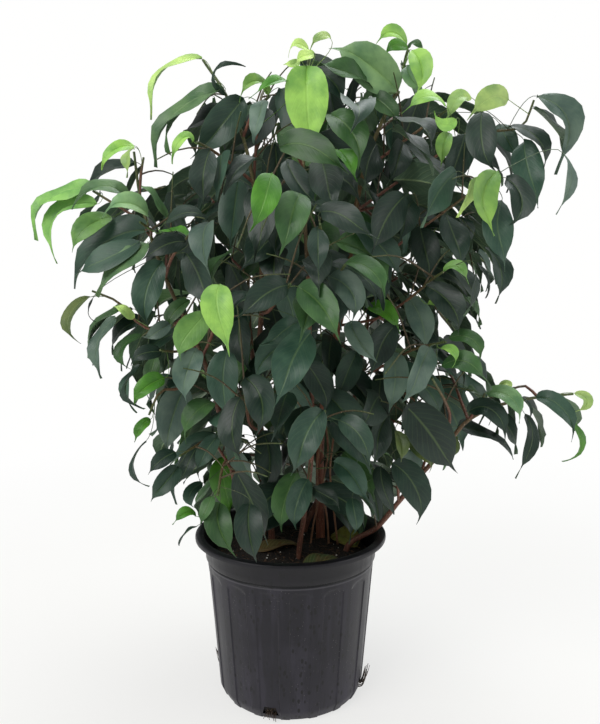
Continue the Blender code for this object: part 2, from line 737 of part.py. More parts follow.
def well_seated(leaf):
    """True where a leaf's stalk is short, or else runs on straight into the blade."""
    stalk = leaf.base - leaf.root
    ahead = leaf.axes(0.0)[0]
    return stalk.length < LONGEST_BENT_STALK or stalk.normalized().dot(ahead) > STRAIGHT_STALK_COSINE


def shown_leaf(wood, seats, base_px, middle_px, tip_px, turn, nearer):
    """A leaf that the picture shows, at a depth near that of its own shoot, on the best seat of its stem."""
    place = Vector(base_px)
    beside = min(wood.seats(), key=lambda seat: (pixel_of(seat) - place).length)
    depth = beside.y - DEPTH_BEFORE_SHOOT - nearer
    base = picture_point(base_px, depth)
    flat = (picture_point(tip_px, depth) - base).length
    forward = min(0.45 * flat, 0.5 * math.sqrt(max(0.0, LEAF_LENGTH ** 2 - flat ** 2)))
    tip = picture_point(tip_px, depth - forward)
    middle = picture_point(middle_px, depth - 0.6 * forward - 0.05 * flat)
    root = nearest_seat(seats, base, (middle - base).normalized())
    chord = tip - base
    facing = across(CAMERA_AT - base, chord)
    over = chord.normalized().cross(facing)
    wanted = Vector((0.5 if base.x > CROWN_MIDDLE.x else -0.5, 0.0, 1.0))
    if over.dot(wanted) < 0:
        over = -over
    face = facing * math.cos(math.radians(turn)) + over * math.sin(math.radians(turn))
    full = chord.length > FULL_FROM_LENGTH and turn <= FULL_TO_TURN
    rows = FULL_ROWS if full else PLAIN_ROWS
    return Leaf(wood.stem, root, base, middle, tip, face, chord.length * LEAF_WIDTH_RATIO, rows)


def rule_leaf(wood, index, hand, draw):
    """A leaf at a point of a shoot, on the hand +1 or -1, that droops outwards."""
    root = wood.path[index].lerp(wood.path[index + 1], 0.5)
    along = (wood.path[index + 1] - wood.path[index]).normalized()
    outward = Vector((root.x - CROWN_MIDDLE.x, root.y - CROWN_MIDDLE.y, 0.0)).normalized()
    side = across(along.cross(Vector((0, 0, 1))) + Vector((0, 0, draw.uniform(-0.5, 0.5))), along) * hand
    start = (along * 0.55 + side + outward * 0.35 + Vector((0, 0, draw.uniform(0.0, 0.4)))).normalized()
    base = root + start * (STALK_LENGTH * draw.uniform(0.9, 1.2))
    length = LEAF_LENGTH * draw.uniform(*RULE_SIZE)
    droop = draw.uniform(*RULE_DROOP)
    sway = Vector((draw.uniform(-0.25, 0.25), draw.uniform(-0.25, 0.25), -droop))
    tip = base + (start * 0.55 + outward * 0.3 + sway).normalized() * length
    chord = tip - base
    arch = across(start + Vector((0, 0, 0.3)), chord) * (LEAF_LENGTH * draw.uniform(0.04, 0.12))
    roll = Vector((draw.uniform(-0.4, 0.4), draw.uniform(-0.4, 0.4), draw.uniform(0.3, 1.0)))
    face = across(outward + roll, chord)
    middle = (base + tip) * 0.5 + arch
    return Leaf(wood.stem, root, base, middle, tip, face, length * LEAF_WIDTH_RATIO, PLAIN_ROWS)


def plan_stems(crown):
    stems = {}
    for name, (foot, radius, points) in STEMS.items():
        ground = Vector((foot[0], foot[1], SOIL_TOP + 2 * SOIL_CROWN))
        way = [ground] + [picture_point(point[:2], point[2]) for point in points]
        stems[name] = crown.add_wood(name, way, radius, STEM_TIP_RADIUS, 1.6 * NODE_SPACING, STEM_DEPTH)
    return stems


def plan_shown_shoots(crown, stems):
    """The side shoots in the picture, and then the leaves on them."""
    shoots = []
    for stem, leaving, way, tip_depth, leaves in SHOOTS:
        trunk = stems[stem]
        start = trunk.nearest(leaving)
        points = [start]
        for i, pixel in enumerate(way):
            depth = start.y + (tip_depth - start.y) * (i + 1) / len(way)
            points.append(picture_point(pixel, depth))
        shoots.append((crown.add_wood(stem, points, SHOOT_RADIUS, SHOOT_TIP_RADIUS, NODE_SPACING), leaves))
    return shoots


def add_arched_shoot(crown, stem, start, tip):
    """A shoot from one point to another, or as far as the crown's outline has room for its arch."""
    def arch():
        return start.lerp(tip, 0.5) + Vector((0, 0, HIDDEN_ARCH * (tip - start).length))
    while (tip - start).length > SHORTEST_ARCH:
        if all(inside_outline(place) for place in (arch(), arch().lerp(tip, 0.5), tip)):
            break
        tip = start.lerp(tip, OUTLINE_STEP)
    crown.add_wood(stem, [start, arch(), tip], SHOOT_RADIUS, SHOOT_TIP_RADIUS, NODE_SPACING)


def plan_hidden_shoots(crown, stems):
    """The side shoots that the picture hides, spread evenly round each stem, and those to bare places."""
    draw = random.Random(HIDDEN_SEED)
    for name, (count, bearing, spread, heights) in HIDDEN_SHOOTS.items():
        trunk = stems[name]
        for i in range(count):
            rank = (i + 0.5) / count
            start = trunk.path[round(between(HIDDEN_STEM_SHARES, rank) * (len(trunk.path) - 1))]
            turn = math.radians(bearing + spread * (((i * GOLDEN_SHARE) % 1.0) * 2 - 1))
            height = between(heights, rank) + draw.uniform(-0.03, 0.03)
            reach = crown_reach(height) * HIDDEN_REACH
            tip = Vector((math.cos(turn) * reach, math.sin(turn) * reach, 0)) + CROWN_MIDDLE
            tip.z = height
            add_arched_shoot(crown, name, start, tip)
    for name, share, tip in EDGE_SHOOTS:
        trunk = stems[name]
        add_arched_shoot(crown, name, trunk.path[round(share * (len(trunk.path) - 1))], tip)


def plan_shown_leaves(crown, shoots):
    """Each leaf that the picture shows, moved along its line of sight until it is clear."""
    for wood, leaves in shoots:
        seats = [seat for other in crown.wood if other.stem == wood.stem for seat in other.seats()]
        for base_px, middle_px, tip_px, turn in leaves:
            for nearer in LINE_OF_SIGHT_SHIFTS:
                leaf = shown_leaf(wood, seats, base_px, middle_px, tip_px, turn, nearer)
                if well_seated(leaf) and crown.clear(leaf):
                    crown.add_leaf(leaf, True)
                    break


def plan_rule_leaves(crown):
    """Leaves left and right in turn along all the wood, in the outer crown and where it has room."""
    for number, wood in enumerate(crown.wood):
        draw = random.Random(FIRST_LEAF_SEED + number)
        bare = round(STEM_BARE_SHARE * len(wood.path)) if wood.radii[0] > SHOOT_RADIUS else 1
        for index in range(bare, len(wood.path) - 1, STEPS_PER_RULE_LEAF):
            for attempt in range(RULE_ATTEMPTS):
                hand = 1 if (index // STEPS_PER_RULE_LEAF + attempt) % 2 else -1
                leaf = rule_leaf(wood, index, hand, draw)
                outer = outer_share(leaf.midrib(RULE_LEAF_MIDDLE)) >= RULE_LEAVES_FROM
                if outer and leaf.inside_crown() and crown.clear(leaf) and not crown.hides_shown(leaf):
                    crown.add_leaf(leaf, False)
                    break


def plan_crown():
    crown = Crown()
    stems = plan_stems(crown)
    shown = plan_shown_shoots(crown, stems)
    plan_hidden_shoots(crown, stems)
    on_stems = [(stems[name], leaves) for name, leaves in STEM_LEAVES.items()]
    plan_shown_leaves(crown, on_stems + shown)
    plan_rule_leaves(crown)
    return crown


# Building helpers

def clear_scene():
    for thing in list(bpy.data.objects):
        bpy.data.objects.remove(thing, do_unlink=True)


def new_collection(name):
    collection = bpy.data.collections.new(name)
    bpy.context.scene.collection.children.link(collection)
    return collection


def plain_material(name, colour, roughness):
    material = bpy.data.materials.new(name)
    material.use_nodes = True
    shader = material.node_tree.nodes["Principled BSDF"]
    shader.inputs["Base Color"].default_value = colour
    shader.inputs["Roughness"].default_value = roughness
    shader.inputs["Metallic"].default_value = 0.0
    material.diffuse_color = colour
    return material


def add_object(name, data, collection, material=None):
    thing = bpy.data.objects.new(name, data)
    collection.objects.link(thing)
    if material:
        data.materials.append(material)
    return thing


def mesh_from(bm, name):
    mesh = bpy.data.meshes.new(name)
    bm.to_mesh(mesh)
    bm.free()
    return mesh


def settled(thing, name, merge=0.000001):
    """The object's mesh with its modifiers applied and its doubles merged."""
    graph = bpy.context.evaluated_depsgraph_get()
    mesh = bpy.data.meshes.new_from_object(thing.evaluated_get(graph), depsgraph=graph)
    mesh.name = name
    bm = bmesh.new()
    bm.from_mesh(mesh)
    bmesh.ops.remove_doubles(bm, verts=bm.verts, dist=merge)
    bmesh.ops.recalc_face_normals(bm, faces=bm.faces)
    bm.to_mesh(mesh)
    bm.free()
    return mesh


def turned(name, profile, steps, collection):
    """A profile of (radius, height) points turned about Z, as a mesh."""
    bm = bmesh.new()
    points = [bm.verts.new((radius, 0, height)) for radius, height in profile]
    for a, b in zip(points, points[1:]):
        if max(a.co.x, b.co.x) > 0:
            bm.edges.new((a, b))
    thing = add_object(name, mesh_from(bm, name), collection)
    screw = thing.modifiers.new("turn", "SCREW")
    screw.axis = "Z"
    screw.steps = steps
    screw.render_steps = steps
    screw.use_merge_vertices = True
    screw.merge_threshold = 0.00001
    mesh = settled(thing, name)
    bpy.data.objects.remove(thing, do_unlink=True)
    return mesh


def joined(thing, collection, operation, solver):
    """The object's mesh after one Boolean with a whole collection, whose objects are then removed."""
    boolean = thing.modifiers.new(operation.lower(), "BOOLEAN")
    boolean.operation = operation
    boolean.solver = solver
    boolean.operand_type = "COLLECTION"
    boolean.collection = collection
    mesh = settled(thing, thing.name)
    thing.modifiers.remove(boolean)
    for material in thing.data.materials:
        if material.name not in mesh.materials:
            mesh.materials.append(material)
    thing.data = mesh
    for other in list(collection.objects):
        bpy.data.objects.remove(other, do_unlink=True)


def outline(sides, collection):
    """A flat regular polygon of unit radius, which a curve can carry along its path."""
    curve = bpy.data.curves.new("outline", "CURVE")
    curve.dimensions = "2D"
    spline = curve.splines.new("POLY")
    spline.points.add(sides - 1)
    for i, place in enumerate(spline.points):
        turn = 2 * math.pi * i / sides
        place.co = (math.cos(turn), math.sin(turn), 0, 1)
    spline.use_cyclic_u = True
    return add_object("outline", curve, collection)


def tube(name, path, radii, sides, collection):
    """A curve with a few-sided bevel and closed ends along a path, made a mesh."""
    curve = bpy.data.curves.new(name, "CURVE")
    curve.dimensions = "3D"
    section = outline(sides, collection)
    curve.bevel_mode = "OBJECT"
    curve.bevel_object = section
    curve.use_fill_caps = True
    spline = curve.splines.new("POLY")
    spline.points.add(len(path) - 1)
    for place, point, radius in zip(spline.points, path, radii):
        place.co = (*point, 1.0)
        place.radius = radius
    line = add_object(name + "_line", curve, collection)
    mesh = settled(line, name)
    bpy.data.objects.remove(line, do_unlink=True)
    bpy.data.objects.remove(section, do_unlink=True)
    return add_object(name, mesh, collection)


# The pot

def wall_radius(height):
    """The outer wall's radius between its flutes."""
    share = (height - WALL_FOOT_HEIGHT) / (COLLAR_FOOT_HEIGHT - COLLAR_STEP - WALL_FOOT_HEIGHT)
    return WALL_FOOT_RADIUS + (WALL_TOP_RADIUS - WALL_FOOT_RADIUS) * share


def inner_wall(spare):
    """The pot's inner wall from its floor to the collar, as radius and height, less some spare room."""
    thickness = POT_WALL + FLUTE_DEPTH + spare
    floor = BASE_RECESS + POT_WALL
    return [
        (BASE_RADIUS - thickness, floor),
        (WALL_FOOT_RADIUS - thickness, WALL_FOOT_HEIGHT + POT_WALL),
        (WALL_TOP_RADIUS - thickness, COLLAR_FOOT_HEIGHT - COLLAR_STEP),
    ]


def pot_profile():
    """The pot's outline, from the lip down its outer side, under its foot and up inside."""
    inner_lip = LIP_RADIUS - LIP_WIDTH
    return [
        (inner_lip, POT_HEIGHT),
        (LIP_RADIUS - LIP_EDGE, POT_HEIGHT),
        (LIP_RADIUS, POT_HEIGHT - LIP_DEPTH),
        (COLLAR_TOP_RADIUS, POT_HEIGHT - LIP_DEPTH - LIP_EDGE),
        (COLLAR_FOOT_RADIUS, COLLAR_FOOT_HEIGHT),
        (WALL_TOP_RADIUS, COLLAR_FOOT_HEIGHT - COLLAR_STEP),
        (wall_radius(FLUTE_TOP_HEIGHT), FLUTE_TOP_HEIGHT),
        (WALL_FOOT_RADIUS, WALL_FOOT_HEIGHT),
        (BASE_RADIUS, 0.0),
        (BASE_RADIUS - BASE_RING, 0.0),
        (BASE_RADIUS - BASE_RING - BASE_STEP, BASE_RECESS),
        (BASE_MIDDLE_RADIUS + BASE_STEP, BASE_RECESS),
        (BASE_MIDDLE_RADIUS, 0.0),
        (0.0, 0.0),
        (0.0, BASE_RECESS + POT_WALL),
        *inner_wall(0.0),
        (inner_lip, POT_HEIGHT),
    ]


def press_flutes(mesh):
    """Moves half of the outer wall's upright lines inwards, and turns a flute to the first notch."""
    step = 2 * math.pi / (FLUTES * STEPS_PER_FLUTE)
    rings = [
        (wall_radius(FLUTE_TOP_HEIGHT), FLUTE_TOP_HEIGHT),
        (WALL_FOOT_RADIUS, WALL_FOOT_HEIGHT),
        (BASE_RADIUS, 0.0),
    ]
    for vertex in mesh.vertices:
        radius = math.hypot(vertex.co.x, vertex.co.y)
        line = round(math.atan2(vertex.co.y, vertex.co.x) / step) % STEPS_PER_FLUTE
        pressed = line >= STEPS_PER_FLUTE / 2
        if pressed and any(math.dist((radius, vertex.co.z), ring) < FIT_GAP for ring in rings):
            share = (radius - FLUTE_DEPTH) / radius
            vertex.co.x *= share
            vertex.co.y *= share
    middle = (0.75 * STEPS_PER_FLUTE - 0.5) * step
    mesh.transform(Matrix.Rotation(math.radians(FIRST_NOTCH_DEG) - middle, 4, "Z"))


def notch_angles():
    return [math.radians(FIRST_NOTCH_DEG + 360.0 / NOTCHES * i) for i in range(NOTCHES)]


def add_notch_cutters(collection):
    """A tapered block at each drainage notch, through the foot of the wall."""
    for i, angle in enumerate(notch_angles()):
        bm = bmesh.new()
        bmesh.ops.create_cube(bm, size=1.0)
        for vertex in bm.verts:
            narrow = NOTCH_TAPER if vertex.co.z > 0 else 1.0
            out = ROOT_START_RADIUS + (vertex.co.x + 0.5) * NOTCH_REACH
            side = vertex.co.y * NOTCH_WIDTH * narrow
            height = NOTCH_HEIGHT if vertex.co.z > 0 else NOTCH_FOOT
            vertex.co = (
                out * math.cos(angle) - side * math.sin(angle),
                out * math.sin(angle) + side * math.cos(angle),
                height,
            )
        add_object("notch_cutter_%d" % i, mesh_from(bm, "notch_cutter"), collection)


def build_pot(collection, cutters):
    mesh = turned("nursery_pot", pot_profile(), FLUTES * STEPS_PER_FLUTE, cutters)
    press_flutes(mesh)
    pot = add_object("nursery_pot", mesh, collection, plain_material("pot plastic", POT_COLOUR, 0.45))
    add_notch_cutters(cutters)
    joined(pot, cutters, "DIFFERENCE", "EXACT")
    return pot


# The soil and the root ball

def soil_profile():
    """The soil's outline, from the middle of its top out and down to the middle of its foot."""
    foot, bend, wall = inner_wall(2 * FIT_GAP)
    edge = SOIL_TOP - 2 * SOIL_CROWN
    floor = foot[1] + FIT_GAP
    return [
        (0.0, SOIL_TOP + SOIL_CROWN),
        (0.35 * wall[0], SOIL_TOP + 0.7 * SOIL_CROWN),
        (0.7 * wall[0], SOIL_TOP + 0.1 * SOIL_CROWN),
        (bend[0] + (wall[0] - bend[0]) * (edge - bend[1]) / (wall[1] - bend[1]), edge),
        bend,
        (foot[0], floor),
        (0.0, floor),
    ]


def lump(mesh):
    """Raises and lowers the soil's top a little, by a formula."""
    for vertex in mesh.vertices:
        if vertex.co.z > SOIL_TOP - 0.002:
            wave = math.sin(vertex.co.x * 95.0 + 0.7) * math.cos(vertex.co.y * 80.0 - 0.4)
            vertex.co.z += SOIL_LUMP * wave


def add_root_tufts(collection):
    """Bent roots that stand out of the root ball through each drainage notch."""
    draw = random.Random(5)
    for angle in notch_angles():
        outward = Vector((math.cos(angle), math.sin(angle), 0))
        sideways = Vector((-math.sin(angle), math.cos(angle), 0))
        for i in range(ROOTS_PER_TUFT):
            slide = (i / (ROOTS_PER_TUFT - 1) - 0.5) * (NOTCH_TAPER * NOTCH_WIDTH - 5 * ROOT_RADIUS)
            start = outward * ROOT_START_RADIUS + sideways * slide + Vector((0, 0, ROOT_START_HEIGHT))
            reach = ROOT_LENGTH * draw.uniform(0.75, 1.0)
            lean = sideways * draw.uniform(-0.004, 0.004)
            middle = start + outward * (0.55 * reach) + lean * 0.4
            middle.z += draw.uniform(-0.001, 0.001)
            tip = start + outward * reach + lean * 2 + Vector((0, 0, draw.uniform(-0.0085, -0.003)))
            radii = [ROOT_RADIUS, ROOT_RADIUS * 0.85, ROOT_RADIUS * 0.4]
            tube("root", [start, middle, tip], radii, ROOT_SIDES, collection)


def add_stem_holes(stems, collection):
    """A cutter a little wider than each stem's foot."""
    for wood in stems:
        foot = wood.path[0]
        along = [foot - Vector((0, 0, FIT_GAP)), foot + Vector((0, 0, 2 * STEM_DEPTH))]
        radius = wood.radii[0] + FIT_GAP / math.cos(math.pi / STEM_SIDES)
        tube("hole_" + wood.stem, along, [radius, radius], STEM_SIDES, collection)


def build_soil(collection, cutters, crown):
    mesh = turned("potting_soil", soil_profile(), SOIL_STEPS, cutters)
    lump(mesh)
    soil = add_object("potting_soil", mesh, collection, plain_material("potting mix", SOIL_COLOUR, 0.95))
    add_root_tufts(cutters)
    joined(soil, cutters, "UNION", "EXACT")
    add_stem_holes(crown.wood[:len(STEMS)], cutters)
    joined(soil, cutters, "DIFFERENCE", "EXACT")
    return soil


# Stems and leaves

def build_blade(leaf, name, collection):
    """A leaf as one thin solid, its stalk a narrow strip sunk into the wood."""
    points, faces = leaf.faces_between()
    bm = bmesh.new()
    corners = [bm.verts.new(point) for point in points]
    for face in faces:
        bm.faces.new([corners[i] for i in face])
    bmesh.ops.recalc_face_normals(bm, faces=bm.faces)
    blade = add_object(name, mesh_from(bm, name), collection)
    thick = blade.modifiers.new("thickness", "SOLIDIFY")
    thick.thickness = BLADE_THICKNESS
    thick.offset = 0.0
    mesh = settled(blade, name)
    blade.modifiers.clear()
    blade.data = mesh
    return blade


def build_stems(collection, cutters, crown):
    foliage = plain_material("fig foliage", FOLIAGE_COLOUR, 0.4)
    for name in STEMS:
        parts = [wood for wood in crown.wood if wood.stem == name]
        stem = tube(name, parts[0].path, parts[0].radii, STEM_SIDES, collection)
        stem.data.materials.append(foliage)
        for i, wood in enumerate(parts[1:]):
            tube("shoot_%d" % i, wood.path, wood.radii, SHOOT_SIDES, cutters)
        for i, leaf in enumerate(leaf for leaf in crown.leaves if leaf.stem == name):
            build_blade(leaf, "blade_%d" % i, cutters)
        joined(stem, cutters, "UNION", "MANIFOLD")


def build_fallen_leaves(collection):
    """Old leaves that lie on the soil."""
    fallen = plain_material("fallen leaf", FALLEN_COLOUR, 0.6)
    for i, (middle, bearing, face) in enumerate(FALLEN_LEAVES):
        heading = Vector((math.cos(math.radians(bearing)), math.sin(math.radians(bearing)), 0))
        half = heading * (0.5 * LEAF_LENGTH * FALLEN_SIZE)
        sag = Vector((0, 0, FALLEN_SAG))
        base = middle - half - sag
        tip = middle + half - sag
        width = LEAF_LENGTH * FALLEN_SIZE * LEAF_WIDTH_RATIO
        root = base - heading * (0.5 * STALK_LENGTH)
        leaf = Leaf("soil", root, base, middle, tip, face, width, FULL_ROWS)
        blade = build_blade(leaf, "fallen_leaf_%d" % (i + 1), collection)
        blade.data.materials.append(fallen)


def main():
    clear_scene()
    part = new_collection("weeping_fig")
    cutters = new_collection("cutters")
    build_pot(part, cutters)
    crown = plan_crown()
    build_soil(part, cutters, crown)
    build_stems(part, cutters, crown)
    build_fallen_leaves(part)


main()
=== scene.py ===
# A weeping fig bush in a black nursery pot, dressed for its picture, in metres with +Z up.
# The plan of its wood and leaves is the one that its plain model follows, with more leaves added.

import math
import random

import bmesh
import bpy
from mathutils import Matrix, Vector, noise
from mathutils.bvhtree import BVHTree


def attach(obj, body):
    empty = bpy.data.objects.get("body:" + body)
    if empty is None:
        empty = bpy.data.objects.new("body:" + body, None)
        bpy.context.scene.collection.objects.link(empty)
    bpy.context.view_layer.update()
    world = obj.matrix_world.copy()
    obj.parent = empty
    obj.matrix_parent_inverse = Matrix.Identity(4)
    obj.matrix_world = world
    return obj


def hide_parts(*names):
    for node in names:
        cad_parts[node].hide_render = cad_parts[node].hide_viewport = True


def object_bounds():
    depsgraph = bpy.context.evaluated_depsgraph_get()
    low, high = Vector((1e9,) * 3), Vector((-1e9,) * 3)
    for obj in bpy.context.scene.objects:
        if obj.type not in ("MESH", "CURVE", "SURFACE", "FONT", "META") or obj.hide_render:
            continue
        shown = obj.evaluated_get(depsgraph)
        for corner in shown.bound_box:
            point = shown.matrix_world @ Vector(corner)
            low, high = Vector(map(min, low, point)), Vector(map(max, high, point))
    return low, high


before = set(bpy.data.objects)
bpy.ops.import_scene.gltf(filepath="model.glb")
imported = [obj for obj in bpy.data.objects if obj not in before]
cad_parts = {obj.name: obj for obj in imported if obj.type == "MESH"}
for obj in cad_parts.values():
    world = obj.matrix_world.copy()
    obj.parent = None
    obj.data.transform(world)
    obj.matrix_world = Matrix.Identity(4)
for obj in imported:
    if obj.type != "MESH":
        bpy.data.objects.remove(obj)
cad_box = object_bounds()


def screen_colour(red, green, blue):
    """A colour as a screen shows it, from 0 to 255, in linear light."""
    return tuple((((part / 255) + 0.055) / 1.055) ** 2.4 for part in (red, green, blue)) + (1.0,)
# The colours of the leaves, from old to new, some of them painted light: the fourth, a grey-blue green, and the
# sixth, a pale green, are painted sheen, the sky's reflection painted into the colour of leaves that catch it,
# and the second, a grey-green, is a dark leaf's colour with a faint painted sheen
DARK, GREY, MID, SKY_SHEEN, SAGE, SHEEN, BRIGHT, SPRING, LIME, PALE, OLIVE = (screen_colour(*part) for part in (
    (22, 45, 36), (47, 76, 63), (53, 90, 47), (84, 108, 98), (98, 136, 92), (132, 174, 122),
    (78, 142, 38), (112, 162, 84), (136, 186, 88), (176, 212, 124), (86, 104, 56),
))

# Pot
POT_HEIGHT = 0.240
LIP_RADIUS = 0.142
LIP_DEPTH = 0.007
LIP_WIDTH = 0.013
COLLAR_TOP_RADIUS = 0.1285
COLLAR_FOOT_RADIUS = 0.1265
COLLAR_FOOT_HEIGHT = 0.205
COLLAR_STEP = 0.003
WALL_TOP_RADIUS = 0.1240
WALL_FOOT_RADIUS = 0.1080
WALL_FOOT_HEIGHT = 0.013
BASE_RADIUS = 0.1015
BASE_RING = 0.012
BASE_RECESS = 0.002
BASE_MIDDLE_RADIUS = 0.058
POT_WALL = 0.0020
FLUTES = 16
FLUTE_DEPTH = 0.0014
FLUTE_TOP_HEIGHT = 0.194
FLUTE_ARCH = 0.011
NOTCHES = 4
FIRST_NOTCH_DEG = -105.0
NOTCH_WIDTH = 0.024
NOTCH_HEIGHT = 0.020
NOTCH_FOOT = 0.0075
NOTCH_REACH = 0.030
NOTCH_TAPER = 0.7
NOTCH_ROUND = 0.0028

# Soil and root ball
SOIL_TOP = 0.205
SOIL_CROWN = 0.004
SOIL_LUMP = 0.0016
STEM_DEPTH = 0.050
ROOT_START_RADIUS = 0.096
ROOT_START_HEIGHT = 0.0125

# Leaf blades and their stalks
LEAF_LENGTH = 0.104
LEAF_WIDTH_RATIO = 0.47
BLADE_THICKNESS = 0.0008
STALK_LENGTH = 0.015
SHORTEST_STALK = 0.009
LONGEST_BENT_STALK = 0.058
STRAIGHT_STALK_COSINE = 0.4
SHARPEST_STALK_COSINE = -0.1
DEPTH_BEFORE_SHOOT = 0.006
STALK_HALF_WIDTH = 0.0006
WIDEST_AT = 0.42
OVAL_TO = 0.90
OVAL_POWER = 0.75
DRIP_WIDTH = 0.08
FOLD_DEG = 14.0
CLEARANCE = 0.0012
ROOT_CLEAR = 0.004
ROOT_SINK = 0.0005
POT_KEEP_OFF = 0.004
LINE_OF_SIGHT_SHIFTS = [hand * 0.001 * i ** 1.6 for i in range(1, 19) for hand in (1, -1)]
BLADE_SAMPLES = [(0.15, 0), (0.35, -0.9), (0.35, 0.9), (0.4, 0), (0.65, -0.7), (0.65, 0.7), (0.9, 0)]
FULL_ROWS = (0.18, 0.46, 0.80)
PLAIN_ROWS = (0.27, 0.64)
RIBBED_TO = 0.60
FULL_FROM_LENGTH = 0.084
FULL_TO_TURN = 22

# Leaves that a rule sets on all the wood, where the crown has room
FIRST_LEAF_SEED = 100
STEM_BARE_SHARE = 0.36
STEPS_PER_RULE_LEAF = 2
RULE_ATTEMPTS = 12
RULE_LEAVES_FROM = 0.60
RULE_LEAF_MIDDLE = 0.45
RULE_SIZE = (0.78, 1.08)
RULE_DROOP = (0.45, 1.15)

# Wood
NODE_SPACING = 0.036
SHOOT_RADIUS = 0.0023
SHOOT_TIP_RADIUS = 0.0016
STEM_TIP_RADIUS = 0.0018
# How far in depth a piece of wood may move to clear another, and how many cuts a bend is drawn with
WOOD_SHIFTS = (0.0, -0.012, 0.012, -0.024, 0.024, -0.040, 0.040, -0.060, 0.060)
BEND_CUTS = 12
# A direction that no wood runs along, from which the way round each tube is taken
ODD_DIRECTION = Vector((0.37, 0.91, 0.18))

# The crown as a shape of revolution, for the shoots behind that the picture hides
CROWN_MIDDLE = Vector((0.025, 0.030, 0.600))
CROWN_RADIUS = 0.300
CROWN_HALF_HEIGHT = 0.375
CROWN_ROUNDNESS = 2.5

# The picture's view, in its pixels and in metres, in which the places below are read
PHOTO_FOCAL_PX = 720.0
PHOTO_CENTRE_PX = (300.0, 362.0)
PHOTO_HEIGHT_PX = 724.0
CAMERA_AT = Vector((0.014, -1.048, 0.607))
CAMERA_PITCH = 0.1085
SENSOR_MM = 36.0

# The crown's outline in the picture, which the leaves that a rule sets stay inside
CROWN_OUTLINE_PX = [
    (150, 95), (160, 66), (205, 58), (240, 60), (286, 42), (330, 40), (362, 46), (392, 30), (418, 44),
    (434, 66), (440, 92), (502, 92), (535, 96), (574, 118), (573, 190), (548, 208), (512, 232), (514, 268),
    (492, 298), (486, 320), (488, 384), (570, 396), (588, 402), (582, 460), (512, 470), (478, 440),
    (452, 474), (428, 520), (392, 520), (384, 548), (200, 548), (180, 520), (148, 500), (142, 440),
    (132, 400), (120, 372), (96, 372), (64, 338), (62, 300), (84, 290), (42, 262), (24, 232), (54, 190),
    (98, 168), (98, 148), (134, 144), (160, 180), (150, 150),
]
# Each leafy stem: its foot in the soil (x, y), its radius there, and the picture points that it
# passes, each with its depth y
STEMS = {
    "left": ((-0.066, 0.000), 0.0050, [
        (226, 440, -0.020), (200, 350, -0.045), (174, 300, -0.055), (158, 255, -0.055),
        (146, 222, -0.045), (138, 185, -0.040), (134, 152, -0.030),
    ]),
    "tall_left": ((-0.030, 0.040), 0.0056, [
        (262, 445, 0.010), (258, 370, -0.005), (262, 290, -0.030), (256, 200, -0.055),
        (241, 130, -0.070), (226, 95, -0.065), (203, 60, -0.050),
    ]),
    "slim": ((0.012, -0.030), 0.0040, [
        (312, 450, -0.050), (310, 353, -0.080), (308, 280, -0.095), (304, 200, -0.110),
        (304, 120, -0.110), (309, 54, -0.085),
    ]),
    "main": ((0.046, 0.055), 0.0075, [
        (320, 450, 0.050), (324, 400, 0.040), (332, 350, 0.025), (345, 300, 0.010),
        (354, 220, -0.020), (370, 150, -0.040), (394, 98, -0.050), (408, 50, -0.045),
    ]),
    "low_right": ((0.085, 0.000), 0.0048, [
        (381, 524, -0.010), (400, 500, -0.020), (427, 468, -0.040), (450, 442, -0.050),
        (475, 415, -0.055), (520, 400, -0.045), (573, 394, -0.030),
    ]),
    "back_left": ((-0.045, 0.072), 0.0052, [
        (262, 440, 0.100), (250, 330, 0.130), (246, 230, 0.140), (232, 165, 0.120),
    ]),
    "back_right": ((0.022, 0.088), 0.0055, [
        (345, 440, 0.110), (366, 330, 0.140), (380, 230, 0.140), (400, 150, 0.110),
    ]),
}

# The leaves that the picture shows on the stems themselves. A leaf is the pixels of its base, its middle
# and its tip, the degrees that its blade is turned from facing the viewer, and its colour if not DARK.
STEM_LEAVES = {
    "left": [
        (135, 146, 114, 150, 98, 168, 38, LIME), (134, 148, 127, 158, 130, 175, 50, PALE),
    ],
    "tall_left": [
        (202, 59, 162, 72, 150, 119, 70, PALE), (226, 96, 215, 72, 243, 56, 66),
        (224, 91, 176, 113, 147, 165, 58, SAGE), (243, 99, 221, 126, 192, 162, 3, GREY),
    ],
    "slim": [
        (307, 66, 307, 104, 311, 160, 0, LIME), (331, 39, 321, 36, 309, 48, 45, PALE),
        (309, 50, 299, 44, 287, 43, 40, PALE), (314, 53, 304, 56, 293, 60, 25, PALE),
        (300, 61, 292, 64, 284, 62, 20, PALE),
    ],
    "main": [
        (407, 45, 392, 32, 376, 43, 40, LIME), (412, 50, 422, 68, 420, 94, 4, LIME),
        (408, 48, 416, 43, 424, 54, 45, MID),
    ],
}

